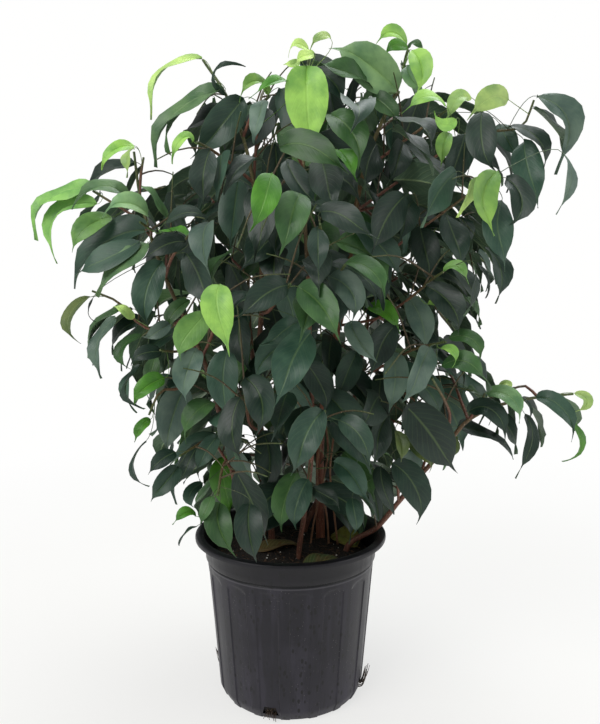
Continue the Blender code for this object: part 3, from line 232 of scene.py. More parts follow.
# Each side shoot in the picture: its stem, where it leaves it, the points on its way, the depth of its
# tip, and the leaves that show on it
SHOOTS = [
    ("left", (146, 222), [(128, 211), (108, 201), (93, 191)], -0.030, [
        (94, 190, 53, 196, 24, 235, 62, SPRING), (126, 202, 104, 186, 66, 206, 52, SAGE),
        (97, 204, 58, 214, 46, 264, 60, SPRING), (112, 217, 86, 228, 70, 252, 30, SPRING),
    ]),
    ("left", (152, 238), [(151, 232), (149, 228), (140, 222)], -0.110, [
        (150, 231, 105, 243, 66, 289, 50, GREY), (148, 243, 122, 262, 92, 291, 45, SAGE),
        (148, 216, 128, 203, 98, 209, 42, SHEEN), (166, 218, 155, 197, 140, 186, 56, SAGE),
    ]),
    ("left", (178, 308), [(165, 330), (147, 332), (121, 304), (92, 291)], -0.070, [
        (90, 297, 70, 315, 69, 346, 55, OLIVE), (94, 296, 89, 308, 88, 322, 70),
        (116, 318, 98, 342, 97, 380, 50, SKY_SHEEN), (134, 318, 125, 311, 113, 304, 30, PALE),
        (142, 335, 121, 349, 123, 374, 45, MID),
    ]),
    ("left", (196, 342), [(185, 350), (172, 352), (160, 350)], -0.130, [
        (162, 352, 145, 353, 127, 361, 20), (155, 356, 151, 373, 147, 391, 12, MID),
        (140, 366, 126, 386, 133, 415, 68), (165, 378, 146, 387, 130, 404, 22, BRIGHT),
        (170, 324, 157, 332, 144, 342, 10, SKY_SHEEN),
    ]),
    ("left", (166, 278), [(170, 262), (178, 248), (192, 232)], -0.150, [
        (162, 262, 146, 292, 146, 329, 6, GREY), (186, 242, 165, 245, 141, 262, 22),
        (160, 233, 178, 231, 200, 248, 66, BRIGHT), (210, 222, 203, 240, 208, 277, 30, SKY_SHEEN),
        (166, 222, 186, 213, 208, 215, 50), (190, 300, 173, 314, 168, 329, 28, MID),
    ]),
    ("left", (206, 372), [(190, 392), (172, 384), (160, 392), (149, 415)], -0.100, [
        (150, 420, 141, 427, 134, 444, 25, BRIGHT), (146, 441, 133, 466, 143, 492, 72),
        (186, 386, 173, 416, 163, 460, 8, SKY_SHEEN), (213, 402, 195, 413, 176, 441, 30, MID),
    ]),
    ("left", (228, 455), [(212, 440), (196, 446), (180, 456)], -0.130, [
        (176, 452, 161, 460, 146, 475, 12), (178, 467, 165, 483, 147, 503, 5, GREY),
        (218, 436, 205, 453, 198, 473, 4, GREY), (197, 447, 188, 464, 180, 487, 20),
        (203, 483, 190, 494, 190, 512, 20, GREY),
    ]),
    ("left", (232, 480), [(226, 462), (222, 470), (218, 495)], -0.185, [
        (226, 456, 224, 484, 236, 518, 5, BRIGHT), (220, 503, 219, 527, 237, 559, 0, MID),
        (250, 503, 249, 532, 258, 566, 0), (212, 496, 206, 510, 198, 525, 25, MID),
        (196, 516, 185, 513, 171, 526, 35, BRIGHT), (197, 526, 186, 533, 175, 547, 70),
    ]),
    ("left", (204, 360), [(212, 335), (216, 310), (219, 286)], -0.210, [
        (220, 284, 218, 312, 235, 354, 0, LIME), (208, 312, 188, 334, 173, 358, 10, SPRING),
        (197, 348, 187, 372, 180, 404, 18, SKY_SHEEN), (228, 350, 223, 382, 229, 422, 10, GREY),
    ]),
    ("tall_left", (250, 170), [(224, 158), (208, 148), (197, 142)], -0.150, [
        (194, 142, 182, 139, 168, 162, 45, LIME), (210, 150, 203, 178, 206, 205, 12),
        (238, 182, 234, 214, 230, 249, 28, GREY),
    ]),
    ("tall_left", (241, 130), [(250, 118), (260, 106), (270, 96)], -0.110, [
        (268, 95, 256, 81, 233, 95, 48, LIME), (290, 84, 274, 82, 250, 99, 60, BRIGHT),
        (262, 100, 259, 118, 250, 141, 40, SKY_SHEEN), (266, 108, 254, 132, 222, 156, 15),
    ]),
    ("tall_left", (257, 215), [(262, 205), (267, 190), (272, 174)], -0.230, [
        (272, 173, 265, 198, 254, 233, 0, BRIGHT), (250, 190, 262, 222, 252, 262, 24),
    ]),
    ("tall_left", (260, 330), [(268, 312), (279, 298), (290, 284)], -0.215, [
        (288, 285, 263, 296, 240, 320, 10), (298, 322, 281, 333, 264, 350, 8, GREY),
        (240, 318, 240, 344, 250, 372, 20),
    ]),
    ("tall_left", (262, 445), [(250, 425), (246, 404), (244, 380)], -0.180, [
        (246, 378, 262, 402, 258, 440, 12), (240, 398, 232, 428, 240, 462, 25),
        (262, 430, 270, 462, 262, 498, 15),
    ]),
    ("slim", (304, 170), [(300, 158), (290, 150), (281, 144)], -0.200, [
        (280, 147, 312, 147, 346, 176, 20, MID), (338, 150, 348, 160, 355, 181, 30, BRIGHT),
        (286, 160, 300, 186, 318, 204, 30),
    ]),
    ("slim", (308, 290), [(322, 262), (322, 240), (320, 224)], -0.250, [
        (320, 212, 345, 217, 372, 244, 15), (318, 228, 318, 249, 318, 274, 2),
        (310, 268, 297, 276, 291, 292, 20),
    ]),
    ("slim", (309, 330), [(322, 305), (334, 282), (345, 265)], -0.220, [
        (346, 263, 371, 270, 389, 301, 40, MID), (328, 276, 352, 293, 355, 324, 5, SKY_SHEEN),
        (350, 321, 360, 343, 378, 362, 25, SKY_SHEEN),
    ]),
    ("slim", (312, 450), [(316, 436), (322, 424), (325, 411)], -0.200, [
        (323, 411, 304, 440, 298, 480, 0, GREY), (338, 420, 360, 436, 371, 468, 10, GREY),
        (334, 462, 353, 477, 367, 509, 5, GREY), (308, 479, 297, 503, 292, 533, 6, GREY),
        (312, 488, 328, 497, 343, 505, 20),
    ]),
    ("main", (394, 98), [(397, 96), (398, 94), (399, 92)], -0.090, [
        (398, 92, 368, 64, 331, 40, 0, SHEEN), (374, 88, 346, 72, 311, 63, 56, MID),
        (407, 66, 412, 79, 426, 93, 10, SAGE), (372, 96, 386, 106, 402, 124, 30, MID),
    ]),
    ("main", (360, 190), [(392, 150), (422, 128), (447, 110)], -0.090, [
        (446, 106, 427, 96, 406, 112, 52, LIME), (449, 133, 443, 147, 444, 166, 0, LIME),
        (456, 119, 443, 125, 431, 112, 35, LIME), (404, 142, 398, 160, 392, 186, 20),
    ]),
    ("main", (358, 205), [(430, 160), (480, 134), (520, 128), (534, 100)], -0.070, [
        (537, 96, 568, 122, 556, 172, 44, SKY_SHEEN), (561, 152, 570, 180, 555, 210, 60, GREY),
        (509, 127, 537, 138, 552, 176, 55), (524, 141, 529, 172, 543, 207, 5, GREY),
        (509, 100, 490, 98, 468, 119, 12, PALE), (472, 98, 456, 100, 451, 124, 18, PALE),
        (482, 112, 482, 143, 491, 173, 0), (500, 124, 508, 141, 520, 160, 12, GREY),
    ]),
    ("main", (346, 295), [(392, 250), (440, 215), (480, 186), (496, 174)], -0.140, [
        (497, 171, 483, 200, 499, 232, 32, LIME), (480, 178, 468, 196, 464, 216, 55, PALE),
        (506, 178, 522, 201, 511, 231, 20), (502, 200, 498, 232, 513, 268, 12, GREY),
        (486, 246, 501, 271, 498, 303, 42), (477, 262, 487, 279, 490, 298, 62),
        (446, 214, 456, 242, 466, 268, 25), (420, 226, 426, 254, 434, 284, 14),
    ]),
    ("main", (336, 335), [(378, 318), (410, 298), (430, 281), (443, 272)], -0.170, [
        (443, 271, 458, 267, 470, 284, 42, SPRING), (428, 304, 443, 302, 456, 319, 40, LIME),
        (408, 297, 422, 322, 424, 352, 6, SKY_SHEEN), (367, 305, 386, 312, 403, 334, 32, BRIGHT),
        (426, 286, 450, 304, 462, 334, 16), (474, 264, 475, 291, 466, 316, 64),
    ]),
    ("main", (324, 400), [(372, 372), (412, 350), (446, 342)], -0.150, [
        (449, 338, 472, 339, 486, 362, 40, MID), (441, 366, 467, 362, 487, 386, 20, MID),
        (441, 348, 452, 350, 462, 365, 40, LIME), (430, 347, 418, 373, 410, 404, 40, SKY_SHEEN),
        (393, 352, 395, 381, 388, 413, 12, SKY_SHEEN), (357, 352, 346, 376, 337, 402, 20, GREY),
    ]),
    ("low_right", (400, 500), [(398, 488), (395, 476), (392, 463)], -0.080, [
        (393, 463, 417, 485, 423, 532, 14), (381, 466, 384, 490, 398, 516, 35),
        (352, 498, 355, 516, 360, 536, 15, GREY),
    ]),
    ("low_right", (436, 458), [(424, 436), (414, 420), (406, 406)], -0.120, [
        (405, 405, 433, 438, 456, 479, 12), (396, 430, 402, 446, 400, 462, 25, OLIVE),
        (408, 441, 424, 452, 438, 469, 30, OLIVE), (440, 430, 453, 446, 450, 459, 25, OLIVE),
    ]),
    ("low_right", (454, 438), [(450, 416), (442, 396), (432, 378)], -0.150, [
        (432, 376, 452, 412, 477, 454, 0, GREY),
    ]),
    ("low_right", (475, 415), [(479, 406), (482, 399), (485, 393)], -0.075, [
        (468, 412, 492, 410, 512, 443, 22), (486, 393, 510, 397, 525, 424, 35, SAGE),
        (525, 414, 532, 442, 513, 477, 30), (499, 388, 507, 383, 516, 391, 40, PALE),
        (518, 399, 528, 403, 534, 424, 62), (536, 397, 561, 407, 581, 441, 25, GREY),
        (570, 418, 581, 442, 572, 468, 60, BRIGHT), (574, 393, 587, 401, 578, 417, 35, PALE),
    ]),
]

# Shoots on the hidden side: how many each stem has, the bearing in degrees that they spread round, how
# far they spread to each side of it, and the heights of the lowest and the highest tip
HIDDEN_SHOOTS = {
    "left": (4, 168.0, 34.0, (0.32, 0.86)),
    "main": (4, 12.0, 30.0, (0.32, 0.86)),
    "low_right": (3, 30.0, 24.0, (0.34, 0.52)),
    "back_left": (11, 126.0, 56.0, (0.32, 0.86)),
    "back_right": (11, 54.0, 56.0, (0.32, 0.86)),
}
# Shoots to the places that all the others leave bare: the stem, where on it they start, and their tip
EDGE_SHOOTS = [
    ("tall_left", 0.80, Vector((-0.035, 0.010, 0.885))),
    ("main", 0.78, Vector((0.115, 0.045, 0.880))),
    ("back_left", 0.95, Vector((-0.020, 0.085, 0.850))),
    ("back_right", 0.95, Vector((0.060, 0.060, 0.870))),
    ("back_left", 0.90, Vector((-0.020, 0.190, 0.840))),
    ("back_right", 0.90, Vector((0.090, 0.190, 0.850))),
    ("back_left", 0.25, Vector((-0.130, 0.130, 0.270))),
    ("back_right", 0.25, Vector((0.160, 0.110, 0.280))),
    ("back_left", 0.20, Vector((0.010, 0.200, 0.280))),
]
HIDDEN_SEED = 11
GOLDEN_SHARE = 0.618
HIDDEN_STEM_SHARES = (0.30, 0.97)
HIDDEN_REACH = 0.86
HIDDEN_ARCH = 0.22
SHORTEST_ARCH = 0.05
OUTLINE_STEP = 0.92
# Fallen leaves on the soil: the middle of each, its bearing in degrees, and where its upper face looks
FALLEN_LEAVES = [
    (Vector((-0.014, 0.008, 0.2122)), 25.0, Vector((0.0, 0.0, 1.0)), screen_colour(92, 84, 46)),
    (Vector((0.050, -0.048, 0.2105)), 40.0, Vector((0.1, -0.1, 1.0)), screen_colour(56, 74, 40)),
    (Vector((0.082, 0.050, 0.2112)), 118.0, Vector((-0.4, -0.2, 1.0)), screen_colour(140, 142, 62)),
]
FALLEN_SIZE = 0.8
FALLEN_SAG = 0.003


# Places and directions

def picture_point(pixel, depth):
    """The point that the picture shows at a pixel, in the upright plane y = depth."""
    right = (pixel[0] - PHOTO_CENTRE_PX[0]) / PHOTO_FOCAL_PX
    up = (PHOTO_CENTRE_PX[1] - pixel[1]) / PHOTO_FOCAL_PX
    ahead = math.cos(CAMERA_PITCH) + up * math.sin(CAMERA_PITCH)
    rise = up * math.cos(CAMERA_PITCH) - math.sin(CAMERA_PITCH)
    reach = (depth - CAMERA_AT.y) / ahead
    return CAMERA_AT + Vector((right, ahead, rise)) * reach


def pixel_of(point):
    """The pixel at which the picture shows a point."""
    away = point - CAMERA_AT
    ahead = away.y * math.cos(CAMERA_PITCH) - away.z * math.sin(CAMERA_PITCH)
    rise = away.y * math.sin(CAMERA_PITCH) + away.z * math.cos(CAMERA_PITCH)
    return Vector((
        PHOTO_CENTRE_PX[0] + PHOTO_FOCAL_PX * away.x / ahead,
        PHOTO_CENTRE_PX[1] - PHOTO_FOCAL_PX * rise / ahead,
    ))


def inside_outline(point):
    """True where the picture shows a point inside the crown's outline."""
    place = pixel_of(point)
    inside = False
    for (x1, y1), (x2, y2) in zip(CROWN_OUTLINE_PX, CROWN_OUTLINE_PX[1:] + CROWN_OUTLINE_PX[:1]):
        if (y1 > place.y) != (y2 > place.y):
            if place.x < x1 + (place.y - y1) * (x2 - x1) / (y2 - y1):
                inside = not inside
    return inside


def across(direction, axis):
    """The part of a direction that is square to an axis, at unit length."""
    along = axis.normalized()
    return (direction - along * direction.dot(along)).normalized()


def between(ends, share):
    return ends[0] + (ends[1] - ends[0]) * share


def crown_reach(height):
    """How far the crown spreads at a height."""
    share = min(1.0, abs(height - CROWN_MIDDLE.z) / CROWN_HALF_HEIGHT)
    return CROWN_RADIUS * math.sqrt(1.0 - share ** CROWN_ROUNDNESS)


def outer_share(point):
    """How near a point is to the crown's outside, from 0 in its middle to 1."""
    away = math.hypot(point.x - CROWN_MIDDLE.x, point.y - CROWN_MIDDLE.y) / CROWN_RADIUS
    high = (point.z - CROWN_MIDDLE.z) / CROWN_HALF_HEIGHT
    return min(1.0, max(away, high))


def smooth_path(points, spacing):
    """A smooth path through the points, cut into equal steps of about the spacing."""
    ends = [points[0] * 2 - points[1]] + points + [points[-1] * 2 - points[-2]]
    fine = [points[0]]
    for before, start, stop, after in zip(ends, ends[1:], ends[2:], ends[3:]):
        for step in range(1, BEND_CUTS + 1):
            t = step / BEND_CUTS
            fine.append(0.5 * (
                2 * start
                + (stop - before) * t
                + (2 * before - 5 * start + 4 * stop - after) * t ** 2
                + (3 * start - before - 3 * stop + after) * t ** 3
            ))
    total = sum((b - a).length for a, b in zip(fine, fine[1:]))
    count = max(2, round(total / spacing))
    path = [fine[0]]
    walked = 0.0
    for start, stop in zip(fine, fine[1:]):
        length = (stop - start).length
        while len(path) < count and walked + length >= total * len(path) / count:
            path.append(start.lerp(stop, (total * len(path) / count - walked) / length))
        walked += length
    return path + [fine[-1]]


# The plan of the crown: wood first, then leaves where they are clear of what is there

class Wood:
    """A stem or a shoot: its path and its radius at each point of it."""

    def __init__(self, stem, path, first_radius, last_radius):
        last = len(path) - 1
        self.stem = stem
        self.path = path
        self.radii = [first_radius + (last_radius - first_radius) * i / last for i in range(last + 1)]
        self.tree = tube_tree(path, self.radii)

    def nearest(self, pixel):
        """The path's point that the picture shows nearest to a pixel."""
        place = Vector(pixel)
        return min(self.path, key=lambda point: (pixel_of(point) - place).length)

    def seats(self):
        """The places where leaves sit, halfway along each step of the path."""
        return [start.lerp(stop, 0.5) for start, stop in zip(self.path, self.path[1:])]


class Leaf:
    """A leaf: its stalk's root on the wood, its midrib's base, middle and tip, and how its blade lies."""

    def __init__(self, stem, root, base, middle, tip, face, width, rows):
        self.stem = stem
        self.tone = DARK
        self.turn = 0
        self.slim = 1.0
        self.root = root
        self.base = base
        self.tip = tip
        self.face = face
        self.width = width
        self.rows = rows
        self.bend = middle * 2 - (base + tip) * 0.5

    def midrib(self, t):
        return self.base * (1 - t) ** 2 + self.bend * (2 * t * (1 - t)) + self.tip * t ** 2

    def axes(self, t):
        """The directions along the midrib, across the blade and out of its upper face."""
        along = ((self.bend - self.base) * (1 - t) + (self.tip - self.bend) * t).normalized()
        side = along.cross(self.face).normalized()
        return along, side, side.cross(along)

    def half_width(self, t):
        """Half of the blade's width: round at its base, then an oval, and last a narrow drip tip."""
        if t < WIDEST_AT:
            rise = 1 - t / WIDEST_AT
            return max(STALK_HALF_WIDTH, 0.5 * self.width * math.sqrt(1 - rise ** 2))
        fall = min(1.0, (t - WIDEST_AT) / (OVAL_TO - WIDEST_AT))
        drip = DRIP_WIDTH * (1 - t) / (1 - OVAL_TO)
        return 0.5 * self.width * max((1 - fall ** 2) ** OVAL_POWER, drip)

    def edge(self, t, hand):
        """The blade's edge at t, on the hand +1 or -1."""
        along, side, up = self.axes(t)
        fold = math.radians(FOLD_DEG)
        reach = self.half_width(t)
        return self.midrib(t) + side * (hand * reach * math.cos(fold)) + up * (reach * math.sin(fold))

    def inside_crown(self):
        """True where the picture shows the leaf, base, tip and edges, inside the crown's outline."""
        ends = [self.base, self.tip, self.edge(WIDEST_AT, 1), self.edge(WIDEST_AT, -1)]
        return all(inside_outline(place) for place in ends)

    def sections(self):
        """The rows of points that the blade is lofted through, from the stalk's root to the tip."""
        side = self.axes(0.0)[1] * STALK_HALF_WIDTH
        sunk = self.root + (self.root - self.base).normalized() * ROOT_SINK
        rows = [[sunk]]
        if self.rows == FULL_ROWS:
            rows = [[sunk - side, sunk + side], [self.base - side, self.base + side]]
        for t in self.rows:
            if t < RIBBED_TO:
                rows.append([self.edge(t, -1), self.midrib(t), self.edge(t, 1)])
            else:
                rows.append([self.edge(t, -1), self.edge(t, 1)])
        rows.append([self.tip])
        return rows

    def faces_between(self):
        """The triangles of the blade, as indices into its points taken row by row."""
        rows = self.sections()
        faces = []
        first = 0
        for row, after in zip(rows, rows[1:]):
            faces += strip(first, len(row), first + len(row), len(after))
            first += len(row)
        return [point for row in rows for point in row], faces

    def grown(self):
        """The blade and its stalk a little thicker than the leaf, for testing what is clear."""
        points, faces = self.faces_between()
        off_root = (self.base - self.root).normalized() * ROOT_CLEAR
        for i in range(len(self.sections()[0])):
            points[i] = points[i] + off_root
        up = self.axes(0.4)[2] * (BLADE_THICKNESS / 2 + CLEARANCE)
        count = len(points)
        both = [point + up for point in points] + [point - up for point in points]
        lower = [[a + count, c + count, b + count] for a, b, c in faces]
        return BVHTree.FromPolygons(both, faces + lower)


def strip(first, count, after, after_count):
    """The triangles between a row of points and the next row, each of one to three points."""
    if count == after_count:
        faces = []
        for i in range(count - 1):
            faces.append([first + i, first + i + 1, after + i + 1])
            faces.append([first + i, after + i + 1, after + i])
        return faces
    if (count, after_count) == (2, 3):
        return [[first, after + 1, after], [first, first + 1, after + 1], [first + 1, after + 2, after + 1]]
    if (count, after_count) == (3, 2):
        return [[first, first + 1, after], [first + 1, after + 1, after], [first + 1, first + 2, after + 1]]
    if count == 1:
        return [[first, after + i + 1, after + i] for i in range(after_count - 1)]
    return [[first + i, first + i + 1, after] for i in range(count - 1)]


def tube_tree(path, radii):
    """A coarse tube round a path, a little fatter than the wood, for testing what is clear."""
    points = []
    faces = []
    for i, (point, radius) in enumerate(zip(path, radii)):
        along = path[min(i + 1, len(path) - 1)] - path[max(i - 1, 0)]
        side = across(ODD_DIRECTION, along)
        up = along.normalized().cross(side)
        reach = (radius + CLEARANCE) * 1.25
        points += [point + side * reach, point + up * reach, point - side * reach, point - up * reach]
        if i:
            for k in range(4):
                a = 4 * i + k
                b = 4 * i + (k + 1) % 4
                faces.append([a - 4, b - 4, b, a])
    return BVHTree.FromPolygons(points, faces)


def leaf_meets_pot(leaf):
    """True where a leaf comes too near the pot's wall and lip or the soil."""
    places = [leaf.root.lerp(leaf.base, share) for share in (0.3, 0.6, 1.0)]
    for step in range(1, 13):
        t = step / 12
        places += [leaf.edge(t, -1), leaf.midrib(t), leaf.edge(t, 1)]
    for place in places:
        radius = math.hypot(place.x, place.y)
        inside = radius < LIP_RADIUS - LIP_WIDTH - POT_KEEP_OFF
        if inside and place.z < SOIL_TOP + SOIL_CROWN + POT_KEEP_OFF:
            return True
        if not inside and radius < LIP_RADIUS + POT_KEEP_OFF and place.z < POT_HEIGHT + POT_KEEP_OFF:
            return True
    return False


class Crown:
    """All the wood and leaves, planned in turn so that the stems stay clear of each other."""

    def __init__(self):
        self.wood = []
        self.leaves = []
        self.solid = []
        self.shown = []

    def add_wood(self, stem, points, first_radius, last_radius, spacing, buried=0.0):
        """Adds a stem or a shoot, moved in depth if need be to clear the wood of other stems."""
        for shift in WOOD_SHIFTS:
            last = len(points) - 1
            moved = [point + Vector((0, shift * i / last, 0)) for i, point in enumerate(points)]
            path = smooth_path(moved, spacing)
            if buried:
                path.insert(0, points[0] - Vector((0, 0, 2 * SOIL_CROWN + buried)))
            wood = Wood(stem, path, first_radius, last_radius)
            if not any(other.stem != stem and other.tree.overlap(wood.tree) for other in self.wood):
                break
        self.wood.append(wood)
        return wood

    def clear(self, leaf):
        """True where a leaf touches no wood and no other leaf."""
        tree = leaf.grown()
        reach = LEAF_LENGTH + STALK_LENGTH
        for wood in self.wood:
            if wood.tree.overlap(tree) and (wood.stem != leaf.stem or self.blade_meets(leaf, wood)):
                return False
        if leaf_meets_pot(leaf):
            return False
        middle = leaf.midrib(0.4)
        for other, other_tree in self.solid:
            if (other.midrib(0.4) - middle).length < 2 * reach and other_tree.overlap(tree):
                return False
        return True

    def blade_meets(self, leaf, wood):
        """True where the blade itself, without its stalk, meets wood of its own stem."""
        points, faces = leaf.faces_between()
        if leaf.rows == FULL_ROWS:
            faces = [face for face in faces if min(face) > 1]
        else:
            points[0] = leaf.base
        return bool(wood.tree.overlap(BVHTree.FromPolygons(points, faces)))

    def hides_shown(self, leaf):
        """True where a leaf would stand in the picture in front of one that the picture shows."""
        for t, hand in BLADE_SAMPLES:
            point = leaf.midrib(t) + (leaf.edge(t, 1) - leaf.edge(t, -1)) * (hand / 2)
            place = pixel_of(point)
            for centre, reach, depth in self.shown:
                if point.y < depth and (centre - place).length < reach:
                    return True
        return False

    def add_leaf(self, leaf, shown):
        self.leaves.append(leaf)
        self.solid.append((leaf, leaf.grown()))
        if shown:
            for t in (0.1, 0.25, 0.4, 0.55, 0.7, 0.85):
                place = pixel_of(leaf.midrib(t))
                edge = pixel_of(leaf.edge(t, 1))
                self.shown.append((place, max(4.0, (edge - place).length * 0.95), leaf.midrib(t).y))


def nearest_seat(seats, base, ahead):
    """The seat nearest to a blade's base from which a stalk can run on into the blade, unbent."""
    def bent(seat):
        stalk = base - seat
        too_short = stalk.length < SHORTEST_STALK
        return too_short or stalk.normalized().dot(ahead) < SHARPEST_STALK_COSINE
    return min(seats, key=lambda seat: (bent(seat), (seat - base).length))


def well_seated(leaf):
    """True where a leaf's stalk is short, or else runs on straight into the blade."""
    stalk = leaf.base - leaf.root
    ahead = leaf.axes(0.0)[0]
    return stalk.length < LONGEST_BENT_STALK or stalk.normalized().dot(ahead) > STRAIGHT_STALK_COSINE


def shown_leaf(wood, seats, row, nearer):
    """A leaf that the picture shows, at a depth near that of its own shoot, on the best seat of its stem."""
    base_px, middle_px, tip_px = row[0:2], row[2:4], row[4:6]
    turn = row[6]
    place = Vector(base_px)
    beside = min(wood.seats(), key=lambda seat: (pixel_of(seat) - place).length)
    depth = beside.y - DEPTH_BEFORE_SHOOT - nearer
    base = picture_point(base_px, depth)
    flat = (picture_point(tip_px, depth) - base).length
    forward = min(0.45 * flat, 0.5 * math.sqrt(max(0.0, LEAF_LENGTH ** 2 - flat ** 2)))
    tip = picture_point(tip_px, depth - forward)
    middle = picture_point(middle_px, depth - 0.6 * forward - 0.05 * flat)
    root = nearest_seat(seats, base, (middle - base).normalized())
    chord = tip - base
    facing = across(CAMERA_AT - base, chord)
    over = chord.normalized().cross(facing)
    wanted = Vector((0.5 if base.x > CROWN_MIDDLE.x else -0.5, 0.0, 1.0))
    if over.dot(wanted) < 0:
        over = -over
    face = facing * math.cos(math.radians(turn)) + over * math.sin(math.radians(turn))
    full = chord.length > FULL_FROM_LENGTH and turn <= FULL_TO_TURN
    rows = FULL_ROWS if full else PLAIN_ROWS
    leaf = Leaf(wood.stem, root, base, middle, tip, face, chord.length * LEAF_WIDTH_RATIO, rows)
    leaf.tone = row[7] if len(row) > 7 else DARK
    leaf.turn = turn
    leaf.slim = NARROW_LEAVES.get(base_px, 1.0)
    return leaf


def add_shown_leaf(crown, wood, row, allowed):
    """A leaf that the picture shows, moved along its line of sight until it is allowed and clear."""
    seats = [seat for other in crown.wood if other.stem == wood.stem for seat in other.seats()]
    for nearer in LINE_OF_SIGHT_SHIFTS:
        leaf = shown_leaf(wood, seats, row, nearer)
        if allowed(leaf) and crown.clear(leaf):
            crown.add_leaf(leaf, True)
            return


def rule_leaf(wood, index, hand, draw):
    """A leaf at a point of a shoot, on the hand +1 or -1, that droops outwards."""
    root = wood.path[index].lerp(wood.path[index + 1], 0.5)
    along = (wood.path[index + 1] - wood.path[index]).normalized()
    outward = Vector((root.x - CROWN_MIDDLE.x, root.y - CROWN_MIDDLE.y, 0.0)).normalized()
    side = across(along.cross(Vector((0, 0, 1))) + Vector((0, 0, draw.uniform(-0.5, 0.5))), along) * hand
    start = (along * 0.55 + side + outward * 0.35 + Vector((0, 0, draw.uniform(0.0, 0.4)))).normalized()
    base = root + start * (STALK_LENGTH * draw.uniform(0.9, 1.2))
    length = LEAF_LENGTH * draw.uniform(*RULE_SIZE)
    droop = draw.uniform(*RULE_DROOP)
    sway = Vector((draw.uniform(-0.25, 0.25), draw.uniform(-0.25, 0.25), -droop))
    tip = base + (start * 0.55 + outward * 0.3 + sway).normalized() * length
    chord = tip - base
    arch = across(start + Vector((0, 0, 0.3)), chord) * (LEAF_LENGTH * draw.uniform(0.04, 0.12))
    roll = Vector((draw.uniform(-0.4, 0.4), draw.uniform(-0.4, 0.4), draw.uniform(0.3, 1.0)))
    face = across(outward + roll, chord)
    middle = (base + tip) * 0.5 + arch
    return Leaf(wood.stem, root, base, middle, tip, face, length * LEAF_WIDTH_RATIO, PLAIN_ROWS)


def plan_stems(crown):
    stems = {}
    for name, (foot, radius, points) in STEMS.items():
        ground = Vector((foot[0], foot[1], SOIL_TOP + 2 * SOIL_CROWN))
        way = [ground] + [picture_point(point[:2], point[2]) for point in points]
        stems[name] = crown.add_wood(name, way, radius, STEM_TIP_RADIUS, 1.6 * NODE_SPACING, STEM_DEPTH)
    return stems


def plan_shown_shoots(crown, stems):
    """The side shoots in the picture, and then the leaves on them."""
    shoots = []
    for stem, leaving, way, tip_depth, leaves in SHOOTS:
        trunk = stems[stem]
        start = trunk.nearest(leaving)
        points = [start]
        for i, pixel in enumerate(way):
            depth = start.y + (tip_depth - start.y) * (i + 1) / len(way)
            points.append(picture_point(pixel, depth))
        shoots.append((crown.add_wood(stem, points, SHOOT_RADIUS, SHOOT_TIP_RADIUS, NODE_SPACING), leaves))
    return shoots


def add_arched_shoot(crown, stem, start, tip):
    """A shoot from one point to another, or as far as the crown's outline has room for its arch."""
    def arch():
        return start.lerp(tip, 0.5) + Vector((0, 0, HIDDEN_ARCH * (tip - start).length))
    while (tip - start).length > SHORTEST_ARCH:
        if all(inside_outline(place) for place in (arch(), arch().lerp(tip, 0.5), tip)):
            break
        tip = start.lerp(tip, OUTLINE_STEP)
    crown.add_wood(stem, [start, arch(), tip], SHOOT_RADIUS, SHOOT_TIP_RADIUS, NODE_SPACING)


def plan_hidden_shoots(crown, stems):
    """The side shoots that the picture hides, spread evenly round each stem, and those to bare places."""
    draw = random.Random(HIDDEN_SEED)
    for name, (count, bearing, spread, heights) in HIDDEN_SHOOTS.items():
        trunk = stems[name]
        for i in range(count):
            rank = (i + 0.5) / count
            start = trunk.path[round(between(HIDDEN_STEM_SHARES, rank) * (len(trunk.path) - 1))]
            turn = math.radians(bearing + spread * (((i * GOLDEN_SHARE) % 1.0) * 2 - 1))
            height = between(heights, rank) + draw.uniform(-0.03, 0.03)
            reach = crown_reach(height) * HIDDEN_REACH
            tip = Vector((math.cos(turn) * reach, math.sin(turn) * reach, 0)) + CROWN_MIDDLE
            tip.z = height
            add_arched_shoot(crown, name, start, tip)
    for name, share, tip in EDGE_SHOOTS:
        trunk = stems[name]
        add_arched_shoot(crown, name, trunk.path[round(share * (len(trunk.path) - 1))], tip)


def plan_rule_leaves(crown):
    """Leaves left and right in turn along all the wood, in the outer crown and where it has room."""
    for number, wood in enumerate(crown.wood):
        draw = random.Random(FIRST_LEAF_SEED + number)
        bare = round(STEM_BARE_SHARE * len(wood.path)) if wood.radii[0] > SHOOT_RADIUS else 1
        for index in range(bare, len(wood.path) - 1, STEPS_PER_RULE_LEAF):
            for attempt in range(RULE_ATTEMPTS):
                hand = 1 if (index // STEPS_PER_RULE_LEAF + attempt) % 2 else -1
                leaf = rule_leaf(wood, index, hand, draw)
                outer = outer_share(leaf.midrib(RULE_LEAF_MIDDLE)) >= RULE_LEAVES_FROM
                if outer and leaf.inside_crown() and crown.clear(leaf) and not crown.hides_shown(leaf):
                    crown.add_leaf(leaf, False)
                    break


# Leaves and twigs that only the dressed plant has

FILL_ATTEMPTS = 7
FILL_SEED = 700
TWIG_SEED = 29
TWIG_RADIUS = 0.0013
TWIG_TIP_RADIUS = 0.0008
TWIG_SPACING = 0.024
TWIG_LENGTH = (0.060, 0.125)
TWIG_REACH = 0.9
TWIG_TRIES = 4
TWIG_FROM_HEIGHT = 0.228
FILL_BARE_SHARE = 0.10
RULE_LEAF_SHARE = 0.7
YOUNG_FROM_DEPTH = 0.06
BOX_KEEP_IN = 0.004
HOLE_SEED = 17
HOLES_FROM_PX = (70, 60)
HOLES_TO_PX = (570, 540)
HOLE_STEP_PX = 6
HOLES_KEPT = 0.05
HOLE_DEPTHS = (0.06, 0.10, 0.02, 0.14, -0.03, 0.18, -0.07)
HOLE_LEAF_PX = 75.0
HOLE_STALK = 0.055
DIM_PLACES_PX = [(318, 448), (331, 462), (323, 490), (341, 450), (309, 470), (336, 500), (266, 470), (276, 505),
                 (262, 520), (284, 520), (318, 528), (340, 530), (300, 520), (350, 545), (248, 480)]
